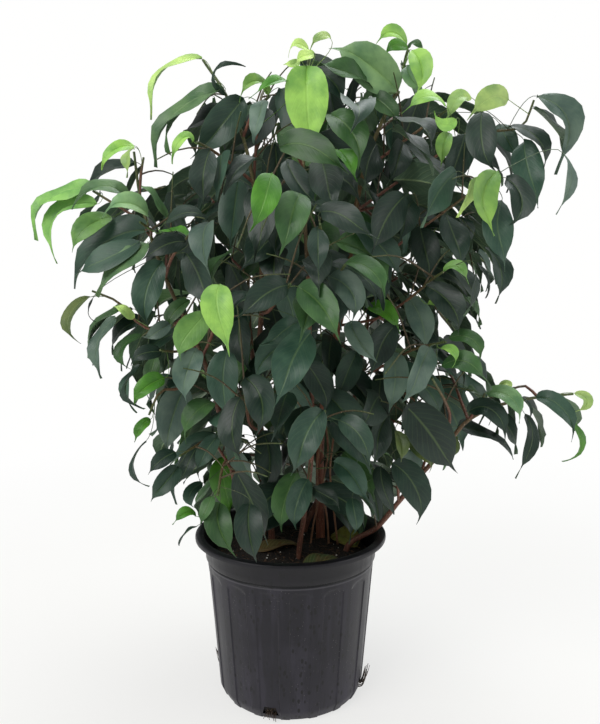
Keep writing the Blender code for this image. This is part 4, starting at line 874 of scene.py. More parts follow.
DIM_DEPTHS = (0.13, 0.17, 0.10, 0.21, 0.07, 0.03)
SHOWN_BARK_PX = 6.0
SHOWN_BARK = [((320, y), 0.045) for y in range(440, 541, 12)] + [((258, y), 0.0) for y in range(392, 441, 12)]
# Leaves that the picture shows edge-on or curled: where each starts, and its share of its full width
NARROW_LEAVES = {
    (525, 414): 0.50, (536, 397): 0.72, (486, 246): 0.80, (474, 264): 0.60, (202, 59): 0.75, (135, 146): 0.75,
    (116, 318): 0.80, (570, 418): 0.70, (142, 335): 0.75, (224, 91): 0.78, (537, 96): 0.88, (477, 262): 0.60,
    (518, 399): 0.60, (94, 296): 0.50, (226, 96): 0.85,
}
# Gaps in the crown through which the picture shows the background: the middle and the reach of each
OPEN_PLACES_PX = [
    (270, 62, 12), (236, 71, 11), (58, 251, 10), (101, 307, 10), (408, 509, 10), (521, 105, 10), (196, 72, 10),
    (168, 172, 10), (436, 482, 10), (554, 190, 10), (554, 454, 9), (175, 80, 9), (78, 336, 8), (145, 174, 8),
    (555, 434, 8), (62, 231, 8), (288, 51, 7), (505, 454, 7), (172, 505, 7), (323, 50, 7), (162, 92, 7),
    (33, 233, 7), (106, 364, 7), (163, 153, 7), (141, 407, 6), (123, 176, 6), (569, 448, 6), (251, 62, 5),
    (229, 87, 5), (379, 135, 5), (493, 445, 5), (82, 321, 5), (543, 414, 5), (537, 117, 5), (484, 307, 5),
    (148, 448, 5), (433, 84, 5), (140, 161, 5), (471, 324, 5), (433, 499, 5), (187, 153, 4), (180, 162, 4),
    (80, 282, 4), (125, 299, 4), (159, 311, 4), (446, 333, 4), (514, 463, 4), (286, 70, 4), (156, 103, 4),
    (126, 277, 4), (482, 330, 4), (550, 422, 4), (464, 451, 4), (151, 478, 4), (505, 110, 4), (93, 320, 4),
]
OPEN_LEAF_PX = 90.0
GAP_SAMPLES = (0.05, 0.15, 0.25, 0.35, 0.45, 0.55, 0.65, 0.75, 0.85, 0.95)
# More leaves that the picture shows, which only the dressed plant has, each with its stem
LATE_LEAVES = [
    ("main", (563, 153, 571, 181, 556, 210, 62, SKY_SHEEN)),
    ("left", (140, 241, 106, 259, 70, 272, 40, GREY)),
    ("main", (408, 48, 396, 45, 383, 51, 30, BRIGHT)),
    ("left", (140, 366, 126, 386, 133, 415, 60, GREY)),
    ("low_right", (432, 376, 452, 412, 466, 452, 10, GREY)),
    ("low_right", (392, 463, 415, 487, 425, 527, 15)),
]


def inside_box(point):
    """True where a point is well inside the plain model's box."""
    lowest, highest = cad_box
    return all(low + BOX_KEEP_IN < value < high - BOX_KEEP_IN
               for low, value, high in zip(lowest, point, highest))


def fits(crown, leaf):
    """True where an added leaf stays inside the crown, hides no shown leaf and touches nothing."""
    if not (inside_box(leaf.base) and inside_box(leaf.tip) and leaf.inside_crown()):
        return False
    return not closes_gap(leaf) and crown.clear(leaf) and not crown.hides_shown(leaf)


def closes_gap(leaf):
    """True where a leaf would stand in a gap through which the picture shows the background."""
    middle = pixel_of(leaf.midrib(0.5))
    near = [(Vector((x, y)), reach) for x, y, reach in OPEN_PLACES_PX
            if math.hypot(x - middle.x, y - middle.y) < OPEN_LEAF_PX]
    if not near:
        return False
    for t in GAP_SAMPLES:
        for hand in (-1, -0.5, 0, 0.5, 1):
            spot = pixel_of(leaf.midrib(t) + (leaf.edge(t, 1) - leaf.edge(t, -1)) * (hand / 2))
            if any((spot - place).length < reach for place, reach in near):
                return True
    return False


def add_late_leaves(crown):
    """The leaves that the picture shows and the plain model has no room for."""
    for stem, row in LATE_LEAVES:
        place = Vector(row[:2])
        woods = [wood for wood in crown.wood if wood.stem == stem]
        wood = min(woods, key=lambda wood: min((pixel_of(seat) - place).length for seat in wood.seats()))
        add_shown_leaf(crown, wood, row, lambda leaf: inside_box(leaf.base) and inside_box(leaf.tip))


def age_colour(draw, share, place):
    """An added leaf's colour: share runs from a shoot's foot to its tip."""
    young = share * outer_share(place)
    chance = draw.random()
    if place.y > YOUNG_FROM_DEPTH:
        if chance < 0.40 * young ** 3:
            return LIME
        if chance < 0.55 * young ** 2:
            return BRIGHT
    if chance < 0.06 + 0.16 * young:
        return MID
    if chance < 0.35:
        return GREY
    return DARK


def fill_leaves(crown, wood, number, first):
    """More leaves along a piece of wood, where the crown has room."""
    draw = random.Random(FILL_SEED + number)
    last = len(wood.path) - 1
    for index in range(first, last):
        for attempt in range(FILL_ATTEMPTS):
            leaf = rule_leaf(wood, index, 1 if attempt % 2 else -1, draw)
            if fits(crown, leaf):
                leaf.tone = age_colour(draw, (index + 1) / last, leaf.base)
                crown.add_leaf(leaf, False)
                break


def twig_from(crown, wood, index, draw):
    """A thin twig from a point of the wood, or None where the crown has no room for it."""
    root = wood.path[index]
    along = (wood.path[index + 1] - root).normalized()
    turn = draw.uniform(0, 2 * math.pi)
    side = across(Vector((math.cos(turn), math.sin(turn), draw.uniform(-0.2, 0.9))), along)
    reach = draw.uniform(*TWIG_LENGTH)
    tip = root + (side + along * 0.5).normalized() * reach
    middle = root.lerp(tip, 0.5) + Vector((0, 0, 0.12 * reach))
    if not (inside_box(tip) and inside_outline(tip) and inside_outline(middle)):
        return None
    if math.hypot(tip.x - CROWN_MIDDLE.x, tip.y - CROWN_MIDDLE.y) > TWIG_REACH * crown_reach(tip.z):
        return None
    twig = Wood(wood.stem, smooth_path([root, middle, tip], TWIG_SPACING), TWIG_RADIUS, TWIG_TIP_RADIUS)
    if any(other is not wood and other.tree.overlap(twig.tree) for other in crown.wood):
        return None
    if any(tree.overlap(twig.tree) for leaf, tree in crown.solid):
        return None
    return twig


def add_twigs(crown):
    """Thin twigs on the stems and shoots, which fill the crown from inside."""
    draw = random.Random(TWIG_SEED)
    twigs = []
    for wood in list(crown.wood):
        for index in range(1, len(wood.path) - 1):
            for attempt in range(TWIG_TRIES if wood.path[index].z >= TWIG_FROM_HEIGHT else 0):
                twig = twig_from(crown, wood, index, draw)
                if twig:
                    crown.wood.append(twig)
                    twigs.append(twig)
                    break
    return twigs


def patch_holes(crown):
    """Leaves behind each place where the picture's viewer could look through the crown."""
    draw = random.Random(HOLE_SEED)
    seats = [(seat, wood.stem) for wood in crown.wood for seat in wood.seats() if seat.z > TWIG_FROM_HEIGHT]
    for pixel in DIM_PLACES_PX:
        for depth in DIM_DEPTHS:
            leaf = patch_leaf(picture_point(pixel, depth), seats, draw)
            if leaf and fits(crown, leaf):
                crown.add_leaf(leaf, False)
                break
    for top in range(HOLES_FROM_PX[1], HOLES_TO_PX[1], HOLE_STEP_PX):
        for left in range(HOLES_FROM_PX[0], HOLES_TO_PX[0], HOLE_STEP_PX):
            pixel = (left + draw.uniform(-2, 2), top + draw.uniform(-2, 2))
            if not inside_outline(picture_point(pixel, 0.0)) or looks_closed(crown, pixel):
                continue
            if any(math.hypot(x - pixel[0], y - pixel[1]) < reach for x, y, reach in OPEN_PLACES_PX):
                continue
            if draw.random() < HOLES_KEPT:
                continue
            for depth in HOLE_DEPTHS:
                leaf = patch_leaf(picture_point(pixel, depth), seats, draw)
                if leaf and fits(crown, leaf):
                    leaf.tone = age_colour(draw, 0.2, leaf.base)
                    crown.add_leaf(leaf, False)
                    break


def looks_closed(crown, pixel):
    """True where a leaf or a stem stands behind a pixel."""
    ray = (picture_point(pixel, 0.0) - CAMERA_AT).normalized()
    place = Vector(pixel)
    for leaf, tree in crown.solid:
        if (pixel_of(leaf.midrib(0.45)) - place).length < HOLE_LEAF_PX and tree.ray_cast(CAMERA_AT, ray)[0]:
            return True
    return any(wood.tree.ray_cast(CAMERA_AT, ray)[0] for wood in crown.wood)


def patch_leaf(place, seats, draw):
    """A hanging leaf whose middle is near a place, on the nearest seat above it."""
    length = LEAF_LENGTH * draw.uniform(*RULE_SIZE)
    lean = Vector((draw.uniform(-0.45, 0.45), draw.uniform(-0.30, 0.30), -1.0)).normalized()
    base = place - lean * (0.45 * length)
    seat, stem = min(seats, key=lambda pair: (pair[0] - base).length)
    if not SHORTEST_STALK < (seat - base).length < HOLE_STALK:
        return None
    tip = base + lean * length
    facing = across(Vector((draw.uniform(-0.7, 0.7), -1.0, draw.uniform(0.0, 0.6))), lean)
    middle = (base + tip) * 0.5 + facing * (length * draw.uniform(0.03, 0.09))
    return Leaf(stem, seat, base, middle, tip, facing, length * LEAF_WIDTH_RATIO, PLAIN_ROWS)


def dressed_crown():
    """The plain model's crown, and then the leaves and twigs that fill it."""
    crown = Crown()
    stems = plan_stems(crown)
    shown = plan_shown_shoots(crown, stems)
    plan_hidden_shoots(crown, stems)
    for wood, leaves in [(stems[name], leaves) for name, leaves in STEM_LEAVES.items()] + shown:
        for row in leaves:
            add_shown_leaf(crown, wood, row, well_seated)
    seen = len(crown.leaves)
    plan_rule_leaves(crown)
    draw = random.Random(FILL_SEED)
    for leaf in crown.leaves[seen:]:
        leaf.tone = age_colour(draw, RULE_LEAF_SHARE, leaf.base)
    add_late_leaves(crown)
    for pixel, depth in SHOWN_BARK:
        crown.shown.append((Vector(pixel), SHOWN_BARK_PX, depth))
    twigs = add_twigs(crown)
    for number, twig in enumerate(twigs):
        fill_leaves(crown, twig, number, 0)
    for number, wood in enumerate(crown.wood[:-len(twigs)]):
        bare = round(FILL_BARE_SHARE * len(wood.path)) if wood.radii[0] > SHOOT_RADIUS else 0
        fill_leaves(crown, wood, len(twigs) + number, max(1, bare))
    patch_holes(crown)
    return crown


# Mesh helpers

def linked(name, data):
    """A new object in the scene."""
    thing = bpy.data.objects.new(name, data)
    bpy.context.scene.collection.objects.link(thing)
    return thing


def mesh_of(bm, name):
    mesh = bpy.data.meshes.new(name)
    bm.to_mesh(mesh)
    bm.free()
    return mesh


def finished_piece(bm, name, nodes, materials):
    """The mesh as a piece of the scene that stands for the named nodes of the plain model."""
    mesh = mesh_of(bm, name)
    for material in materials:
        mesh.materials.append(material)
    piece = linked(name, mesh)
    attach(piece, "root")
    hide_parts(*nodes)


def smooth_with_edges(bm, sharpest=180.0):
    """Smooth faces, with a hard edge wherever two of them meet at a sharper angle."""
    for face in bm.faces:
        face.smooth = True
    for edge in bm.edges:
        if edge.is_manifold and math.degrees(edge.calc_face_angle(0.0)) > sharpest:
            edge.smooth = False


def add_tube(bm, layer, path, radii, sides, colours):
    """A closed tube round a path: a grid wrapped round it, its end rows drawn to a point."""
    path = [path[0]] + path + [path[-1]]
    radii = [0.0] + list(radii) + [0.0]
    colours = [colours[0]] + list(colours) + [colours[-1]]
    rows = len(path) - 1
    side = across(ODD_DIRECTION, path[2] - path[1])
    frames = []
    for i in range(rows + 1):
        along = path[min(i + 1, rows)] - path[max(i - 1, 0)]
        if along.length > 0:
            side = across(side, along)
        frames.append((side, along.normalized().cross(side)))
    grid = bmesh.ops.create_grid(bm, x_segments=sides, y_segments=rows, size=0.5)["verts"]
    for vert in grid:
        turn = 2 * math.pi * (vert.co.x + 0.5)
        row = round((vert.co.y + 0.5) * rows)
        side, up = frames[row]
        vert.co = path[row] + (side * math.cos(turn) + up * math.sin(turn)) * radii[row]
        vert[layer] = colours[row]
    bmesh.ops.remove_doubles(bm, verts=grid, dist=0.00001)


def mixed(first, second, share):
    return tuple(a + (b - a) * share for a, b in zip(first, second))


# The leaves

BLADE_COLUMNS = 4
BLADE_LENGTHS = 9
LENGTHS_PER_BEND = 18
MOST_LENGTHS = 14
ROW_CROWDING = 0.062
OVAL_END = 0.84
BASE_POWER = 0.56
TIP_POWER = 0.60
TIP_WIDTH = 0.12
REAL_BLADE_THICKNESS = 0.0004
FOLD_RISE = (0.12, 0.44)
SLIMNESS = (0.88, 1.03)
TURNED_FROM = 40
TURNED_BY = 75
BLADE_BULGE = 0.13
EDGE_WAVE = (0.03, 0.12)
EDGE_WAVES = 9.0
LEFT_EDGE_LAG = 1.7
TIP_CURL = (0.003, 0.018)
TIP_SWAY = 0.011
CURL_FROM = 0.66
TONE_SPREAD = 0.30
LEAVES_SEED = 40


def blade_reach(leaf, t):
    """Half of the blade's width with its fine drip tip."""
    if t < WIDEST_AT:
        reach = (1 - (1 - t / WIDEST_AT) ** 2) ** BASE_POWER
    else:
        fall = min(1.0, (t - WIDEST_AT) / (OVAL_END - WIDEST_AT))
        reach = max((1 - fall ** 2) ** TIP_POWER, TIP_WIDTH * (1 - t) / (1 - OVAL_END))
    return 0.5 * leaf.width * reach


def blade_lengths(leaf):
    """How many rows of faces a blade has: more where its midrib bends more."""
    bend = (leaf.midrib(0.5) - leaf.base.lerp(leaf.tip, 0.5)).length / (leaf.tip - leaf.base).length
    return min(MOST_LENGTHS, round(BLADE_LENGTHS + LENGTHS_PER_BEND * bend))


def add_blade(bm, uv_layer, tone_layer, leaf, draw, columns, lengths):
    """A blade: a grid laid along the midrib, folded, with waved edges and a curled tip."""
    grid = bmesh.ops.create_grid(bm, x_segments=columns, y_segments=lengths, size=0.5)["verts"]
    faces = {face for vert in grid for face in vert.link_faces}
    for face in faces:
        for loop in face.loops:
            loop[uv_layer].uv = (loop.vert.co.x + 0.5, loop.vert.co.y + 0.5)
    wave = draw.uniform(*EDGE_WAVE) * leaf.width
    phase = draw.uniform(0, 2 * math.pi)
    curl = draw.uniform(*TIP_CURL)
    sway = draw.uniform(-TIP_SWAY, TIP_SWAY)
    shade = 1 + draw.uniform(-TONE_SPREAD, TONE_SPREAD)
    fold = draw.uniform(*FOLD_RISE)
    slimness = draw.uniform(*SLIMNESS) * leaf.slim * (1 - max(0, leaf.turn - TURNED_FROM) / TURNED_BY)
    tone = (leaf.tone[0] * shade, leaf.tone[1] * shade, leaf.tone[2] * shade, draw.random())
    for vert in grid:
        share = 2 * vert.co.x
        place = vert.co.y + 0.5
        t = place - ROW_CROWDING * math.sin(2 * math.pi * place)
        along, side, up = leaf.axes(t)
        reach = blade_reach(leaf, t) * slimness
        lift = reach * (fold * abs(share) + BLADE_BULGE * math.sin(math.pi * abs(share)))
        lift += wave * share * share * math.sin(EDGE_WAVES * t + phase * (1 if share > 0 else LEFT_EDGE_LAG))
        bent = max(0.0, (t - CURL_FROM) / (1 - CURL_FROM)) ** 2
        vert.co = leaf.midrib(t) + side * (share * reach + sway * bent) + up * (lift - curl * bent)
        vert[tone_layer] = tone
    return grid


def blades_mesh(leaves, seed, columns=BLADE_COLUMNS, lengths=0):
    """All the blades as thin solids: upper faces first, then lower faces and edges."""
    draw = random.Random(seed)
    bm = bmesh.new()
    uv_layer = bm.loops.layers.uv.new("blade")
    tone_layer = bm.verts.layers.float_color.new("tone")
    for leaf in leaves:
        add_blade(bm, uv_layer, tone_layer, leaf, draw, columns, lengths or blade_lengths(leaf))
    bmesh.ops.remove_doubles(bm, verts=bm.verts, dist=0.000005)
    upper = len(bm.faces)
    bmesh.ops.solidify(bm, geom=bm.faces[:], thickness=REAL_BLADE_THICKNESS)
    for index, face in enumerate(bm.faces):
        face.material_index = 1 if upper <= index < 2 * upper else 0
    smooth_with_edges(bm, 60.0)
    return bm


def build_leaves(crown, upper, lower):
    for number, name in enumerate(STEMS):
        leaves = [leaf for leaf in crown.leaves if leaf.stem == name]
        bm = blades_mesh(leaves, LEAVES_SEED + number)
        finished_piece(bm, "leaves_" + name, ["leafy_stem_" + name], [upper, lower])


# The wood

BARK = screen_colour(126, 82, 64)
# The main stem's bark, a little redder than the others' and painted lighter: painted light on a stem that the
# crown shades
LIT_BARK = screen_colour(158, 98, 74)
YOUNG_BARK = screen_colour(84, 72, 46)
GREEN_WOOD = screen_colour(78, 100, 48)
STALK_GREEN = screen_colour(104, 130, 60)
STEM_STEP = 0.010
SHOOT_STEP = 0.014
GREEN_FROM = 0.45
STALK_RADIUS = 0.00055
STALK_THINS_BY = 0.3
LONG_STALK = 0.024
STALK_BOW = 0.3
# The aerial roots' colour, painted lighter than their own tan: painted light where the crown shades them
AERIAL_ROOT = screen_colour(160, 116, 86)
AERIAL_ROOT_RADIUS = 0.0016
AERIAL_ROOTS = [
    [(322, 440, 0.043), (317, 466, 0.038), (318, 500, 0.034), (313, 526, 0.030), (310, 548, 0.028)],
    [(325, 420, 0.046), (328, 452, 0.040), (323, 486, 0.036), (327, 518, 0.032), (329, 548, 0.030)],
    [(330, 396, 0.040), (334, 430, 0.036), (330, 470, 0.030), (334, 512, 0.028), (338, 548, 0.028)],
]


def add_stalk(bm, layer, leaf):
    """A stalk that leaves the wood and bends into the line of its blade."""
    length = (leaf.base - leaf.root).length
    control = leaf.base - leaf.axes(0.0)[0] * (STALK_BOW * length)
    steps = 3 if length < LONG_STALK else 6
    path = []
    for step in range(steps + 1):
        t = step / steps
        path.append(leaf.root * (1 - t) ** 2 + control * (2 * t * (1 - t)) + leaf.base * t ** 2)
    path.append(leaf.midrib(0.03))
    last = len(path) - 1
    radii = [STALK_RADIUS * (1 - STALK_THINS_BY * i / last) for i in range(last + 1)]
    add_tube(bm, layer, path, radii, 4, [mixed(STALK_GREEN, leaf.tone, 0.6)] * (last + 1))


def add_branch(bm, layer, wood):
    """A stem, a shoot or a twig, greener towards its tip; a stem's thickness varies a little."""
    thick = wood.radii[0]
    is_stem = thick > SHOOT_RADIUS
    path = smooth_path(wood.path, STEM_STEP if is_stem else SHOOT_STEP)
    last = len(path) - 1
    radii = [thick + (wood.radii[-1] - thick) * i / last for i in range(last + 1)]
    old = BARK if thick > TWIG_RADIUS else YOUNG_BARK
    if is_stem:
        radii = [radius * (1 + 0.05 * math.sin(i * 1.9) + 0.03 * math.sin(i * 4.3))
                 for i, radius in enumerate(radii)]
        # The main stem's bark is painted lighter, painted light where the crown shades it
        old = LIT_BARK if wood.stem == "main" else BARK
    colours = [mixed(old, GREEN_WOOD, max(0.0, i / last - GREEN_FROM) / (1 - GREEN_FROM))
               for i in range(last + 1)]
    add_tube(bm, layer, path, radii, 10 if is_stem else 6, colours)


def build_wood(crown, name, bark):
    bm = bmesh.new()
    layer = bm.verts.layers.float_color.new("bark")
    for wood in crown.wood:
        if wood.stem == name:
            add_branch(bm, layer, wood)
    for leaf in crown.leaves:
        if leaf.stem == name:
            add_stalk(bm, layer, leaf)
    for points in AERIAL_ROOTS if name == "main" else ():
        path = smooth_path([picture_point(point[:2], point[2]) for point in points], STEM_STEP)
        add_tube(bm, layer, path, [AERIAL_ROOT_RADIUS] * len(path), 6, [AERIAL_ROOT] * len(path))
    smooth_with_edges(bm, 80.0)
    finished_piece(bm, "wood_" + name, ["leafy_stem_" + name], [bark])


# The pot

FLUTE_LINES_DEG = (-10.3, -8.7, -7.9, -7.1, -5.6, -2.0, 2.0, 5.6, 7.1, 7.9, 8.7, 10.3)
FLUTE_HALF_DEG = 7.9
FLUTE_EDGE_DEG = 0.9
FLUTE_END_RUN = 0.0030
WALL_ROWS = [0.016, 0.035, 0.065, 0.095, 0.125, 0.150, 0.168] + [0.176 + 0.0015 * i for i in range(14)]
GROOVE_DEPTH = 0.0009


def wall_radius(height):
    share = (height - WALL_FOOT_HEIGHT) / (COLLAR_FOOT_HEIGHT - COLLAR_STEP - WALL_FOOT_HEIGHT)
    return WALL_FOOT_RADIUS + (WALL_TOP_RADIUS - WALL_FOOT_RADIUS) * share


def pot_profile():
    """The pot's outline, from the lip down its outer side, under its foot and up inside."""
    inner_lip = LIP_RADIUS - LIP_WIDTH
    inside = POT_WALL + FLUTE_DEPTH
    groove = COLLAR_FOOT_HEIGHT - COLLAR_STEP
    return [
        (inner_lip + 0.0010, POT_HEIGHT - 0.0006),
        (inner_lip + 0.0030, POT_HEIGHT),
        (LIP_RADIUS - 0.0034, POT_HEIGHT),
        (LIP_RADIUS - 0.0012, POT_HEIGHT - 0.0008),
        (LIP_RADIUS - 0.0002, POT_HEIGHT - 0.0024),
        (LIP_RADIUS, POT_HEIGHT - 0.0045),
        (LIP_RADIUS - 0.0002, POT_HEIGHT - LIP_DEPTH + 0.0004),
        (LIP_RADIUS - 0.0012, POT_HEIGHT - LIP_DEPTH),
        (LIP_RADIUS - 0.0026, POT_HEIGHT - LIP_DEPTH + 0.0006),
        (COLLAR_TOP_RADIUS + 0.0030, POT_HEIGHT - LIP_DEPTH - 0.0002),
        (COLLAR_TOP_RADIUS + 0.0008, POT_HEIGHT - LIP_DEPTH - 0.0012),
        (COLLAR_TOP_RADIUS, POT_HEIGHT - LIP_DEPTH - 0.0032),
        (COLLAR_FOOT_RADIUS + 0.0004, COLLAR_FOOT_HEIGHT + 0.0080),
        (COLLAR_FOOT_RADIUS, COLLAR_FOOT_HEIGHT + 0.0012),
        (COLLAR_FOOT_RADIUS - 0.0008, COLLAR_FOOT_HEIGHT),
        (WALL_TOP_RADIUS - GROOVE_DEPTH, groove + 0.0016),
        (WALL_TOP_RADIUS - GROOVE_DEPTH, groove + 0.0004),
        (wall_radius(groove - 0.001), groove - 0.001),
        *[(wall_radius(height), height) for height in reversed(WALL_ROWS)],
        (WALL_FOOT_RADIUS - 0.0002, WALL_FOOT_HEIGHT),
        (WALL_FOOT_RADIUS - 0.0022, WALL_FOOT_HEIGHT - 0.004),
        (BASE_RADIUS + 0.0010, 0.0016),
        (BASE_RADIUS - 0.0004, 0.0),
        (BASE_RADIUS - BASE_RING, 0.0),
        (BASE_RADIUS - BASE_RING - BASE_RECESS, BASE_RECESS),
        (BASE_MIDDLE_RADIUS + BASE_RECESS, BASE_RECESS),
        (BASE_MIDDLE_RADIUS, 0.0),
        (0.0, 0.0),
        (0.0, BASE_RECESS + POT_WALL),
        (BASE_RADIUS - inside, BASE_RECESS + POT_WALL),
        (WALL_FOOT_RADIUS - inside, WALL_FOOT_HEIGHT + POT_WALL),
        (WALL_TOP_RADIUS - inside, groove),
        (WALL_TOP_RADIUS - POT_WALL, COLLAR_FOOT_HEIGHT + 0.002),
        (COLLAR_TOP_RADIUS - POT_WALL, POT_HEIGHT - LIP_DEPTH),
        (inner_lip, POT_HEIGHT - 0.0030),
    ]


def smooth_step(value):
    value = max(0.0, min(1.0, value))
    return value * value * (3 - 2 * value)


def flute_depth(offset, height):
    """How deep the wall is pressed in, offset degrees from a flute's middle."""
    side = smooth_step((FLUTE_HALF_DEG - abs(offset)) / FLUTE_EDGE_DEG)
    share = min(1.0, abs(offset) / FLUTE_HALF_DEG)
    top = FLUTE_TOP_HEIGHT - FLUTE_ARCH * (1 - math.sqrt(1 - share * share))
    return FLUTE_DEPTH * side * smooth_step((top - height) / FLUTE_END_RUN)


def press_flutes(bm, lines):
    """Draws the upright lines together at the flutes' edges and presses the flutes into the wall."""
    pitch = 360.0 / FLUTES
    per_flute = len(FLUTE_LINES_DEG)
    for vert in bm.verts:
        radius = math.hypot(vert.co.x, vert.co.y)
        if radius < 0.001:
            continue
        line = round(math.degrees(math.atan2(vert.co.y, vert.co.x)) * lines / 360.0) % lines
        offset = FLUTE_LINES_DEG[line % per_flute]
        turn = math.radians(FIRST_NOTCH_DEG + pitch * (line // per_flute) + offset)
        outer = vert.co.z < WALL_ROWS[-1] + 0.001 and radius > wall_radius(vert.co.z) - 0.5 * POT_WALL
        if vert.co.z < WALL_FOOT_HEIGHT:
            outer = radius > BASE_RADIUS - 0.001
        if outer:
            radius -= flute_depth(offset, vert.co.z)
        vert.co.x = radius * math.cos(turn)
        vert.co.y = radius * math.sin(turn)


def notch_angles():
    return [math.radians(FIRST_NOTCH_DEG + 360.0 / NOTCHES * i) for i in range(NOTCHES)]


def notch_cutter():
    """Tapered blocks with rounded corners, one at each drainage notch."""
    bm = bmesh.new()
    for angle in notch_angles():
        cube = bmesh.ops.create_cube(bm, size=1.0)["verts"]
        for vert in cube:
            high = vert.co.z > 0
            out = ROOT_START_RADIUS + (vert.co.x + 0.5) * NOTCH_REACH
            side = vert.co.y * NOTCH_WIDTH * (NOTCH_TAPER if high else 1.0)
            vert.co = (
                out * math.cos(angle) - side * math.sin(angle),
                out * math.sin(angle) + side * math.cos(angle),
                NOTCH_HEIGHT if high else NOTCH_FOOT,
            )
        outward = Vector((math.cos(angle), math.sin(angle), 0))
        through = [edge for edge in {edge for vert in cube for edge in vert.link_edges}
                   if abs((edge.verts[0].co - edge.verts[1].co).normalized().dot(outward)) > 0.99]
        bmesh.ops.bevel(bm, geom=through, offset=NOTCH_ROUND, offset_type="OFFSET", segments=3, profile=0.5,
                        affect="EDGES", material=-1)
    return linked("notch_cutter", mesh_of(bm, "notch_cutter"))


def cut_out(bm, cutter):
    """The mesh less the cutter, which is then removed."""
    thing = linked("whole", mesh_of(bm, "whole"))
    boolean = thing.modifiers.new("cut", "BOOLEAN")
    boolean.operation = "DIFFERENCE"
    boolean.solver = "EXACT"
    boolean.object = cutter
    graph = bpy.context.evaluated_depsgraph_get()
    result = bmesh.new()
    result.from_mesh(bpy.data.meshes.new_from_object(thing.evaluated_get(graph), depsgraph=graph))
    bpy.data.objects.remove(thing, do_unlink=True)
    bpy.data.objects.remove(cutter, do_unlink=True)
    return result


def spun(profile, steps):
    """A profile of radius and height turned about Z."""
    bm = bmesh.new()
    points = [bm.verts.new((radius, 0, height)) for radius, height in profile]
    for first, second in zip(points, points[1:]):
        if max(first.co.x, second.co.x) > 0:
            bm.edges.new((first, second))
    if profile[0][0] > 0:
        bm.edges.new((points[-1], points[0]))
    bmesh.ops.spin(bm, geom=bm.verts[:] + bm.edges[:], cent=(0, 0, 0), axis=(0, 0, 1), angle=2 * math.pi,
                   steps=steps, use_merge=True, use_duplicate=False)
    bmesh.ops.remove_doubles(bm, verts=bm.verts, dist=0.00001)
    bmesh.ops.recalc_face_normals(bm, faces=bm.faces)
    return bm


def build_pot(plastic):
    lines = FLUTES * len(FLUTE_LINES_DEG)
    bm = spun(pot_profile(), lines)
    press_flutes(bm, lines)
    bm = cut_out(bm, notch_cutter())
    smooth_with_edges(bm, 34.0)
    finished_piece(bm, "fluted_pot", ["nursery_pot"], [plastic])


# The soil, what lies in it and the roots that leave the pot

SOIL_LINES = 120
SOIL_RINGS = 34
SOIL_FIT = 0.0006
PERLITE_BITS = 36
PERLITE_PATCH = [(276, 562), (268, 558), (283, 566), (296, 560), (262, 552), (310, 566), (330, 562)]
BARK_BITS = 420
FIBRES = 90
FIBRE_STEPS = 5
FIBRE_STEP = 0.0040
FIBRE_RADIUS = 0.00035
TUFT_ROOTS = 11
ROOT_CLIMB = (0.018, 0.030)
ROOT_DROP = (-0.0075, -0.002)
SIDE_ROOT_REACH = (0.0215, 0.029)
FRONT_ROOT_REACH = (0.016, 0.026)
ROOT_THICK = (0.0008, 0.0015)
ROOT_LEAN = (-0.003, 0.009)
NOTCH_GRAIN = (0.0995, 0.0165)
ROOT_TAN = screen_colour(128, 96, 66)
ROOT_DARK = screen_colour(46, 36, 29)


def soil_height(x, y):
    """The soil's uneven top."""
    radius = math.hypot(x, y) / (WALL_TOP_RADIUS - POT_WALL)
    height = SOIL_TOP + SOIL_CROWN * (1 - 1.25 * radius ** 1.6)
    height += SOIL_LUMP * math.sin(x * 95.0 + 0.7) * math.cos(y * 80.0 - 0.4)
    height += 0.0012 * noise.noise(Vector((x * 90, y * 90, 2.0)))
    return height + 0.0009 * noise.noise(Vector((x * 260, y * 260, 7.0)))


def soil_wall(height):
    """The radius inside the pot at a height, less the room between pot and soil."""
    bend = WALL_FOOT_HEIGHT + POT_WALL
    share = (height - bend) / (COLLAR_FOOT_HEIGHT - COLLAR_STEP - bend)
    inner = WALL_FOOT_RADIUS + (WALL_TOP_RADIUS - WALL_FOOT_RADIUS) * share
    return inner - POT_WALL - FLUTE_DEPTH - SOIL_FIT


def build_soil(mix):
    edge = SOIL_TOP - 0.006
    rim = soil_wall(edge)
    bend = WALL_FOOT_HEIGHT + POT_WALL
    profile = [(rim * i / SOIL_RINGS, SOIL_TOP) for i in range(SOIL_RINGS)]
    profile += [(rim, edge), (soil_wall(0.5 * (edge + bend)), 0.5 * (edge + bend)), (soil_wall(bend), bend)]
    floor = BASE_RECESS + POT_WALL + 0.0003
    profile += [(BASE_RADIUS - POT_WALL - FLUTE_DEPTH - SOIL_FIT, floor), (0.0, floor)]
    bm = spun(profile, SOIL_LINES)
    for vert in bm.verts:
        if vert.co.z > SOIL_TOP - 0.001:
            vert.co.z = soil_height(vert.co.x, vert.co.y)
    smooth_with_edges(bm)
    finished_piece(bm, "root_ball", ["potting_soil"], [mix])


def scattered(draw, clear=0.004):
    """A place on the soil's top, picked evenly."""
    turn = draw.uniform(0, 2 * math.pi)
    radius = (soil_wall(SOIL_TOP) - clear) * math.sqrt(draw.random())
    x = radius * math.cos(turn)
    y = radius * math.sin(turn)
    return Vector((x, y, soil_height(x, y)))


def on_soil(pixel):
    """The place on the soil that the picture shows at a pixel."""
    away = picture_point(pixel, 0.0) - CAMERA_AT
    place = CAMERA_AT + away * ((SOIL_TOP - CAMERA_AT.z) / away.z)
    return Vector((place.x, place.y, soil_height(place.x, place.y)))


def random_turn(draw):
    axis = Vector((draw.uniform(-1, 1), draw.uniform(-1, 1), draw.uniform(-1, 1))).normalized()
    return Matrix.Rotation(draw.uniform(0, 2 * math.pi), 4, axis)


def add_lump(bm, place, matrix, radius, rounds, dent, pitch):
    """A lump set by a matrix near a place, its faces dented by noise."""
    lump = bmesh.ops.create_icosphere(bm, subdivisions=rounds, radius=radius, matrix=matrix)["verts"]
    for vert in lump:
        vert.co += (vert.co - place) * (dent * noise.noise(vert.co * pitch))


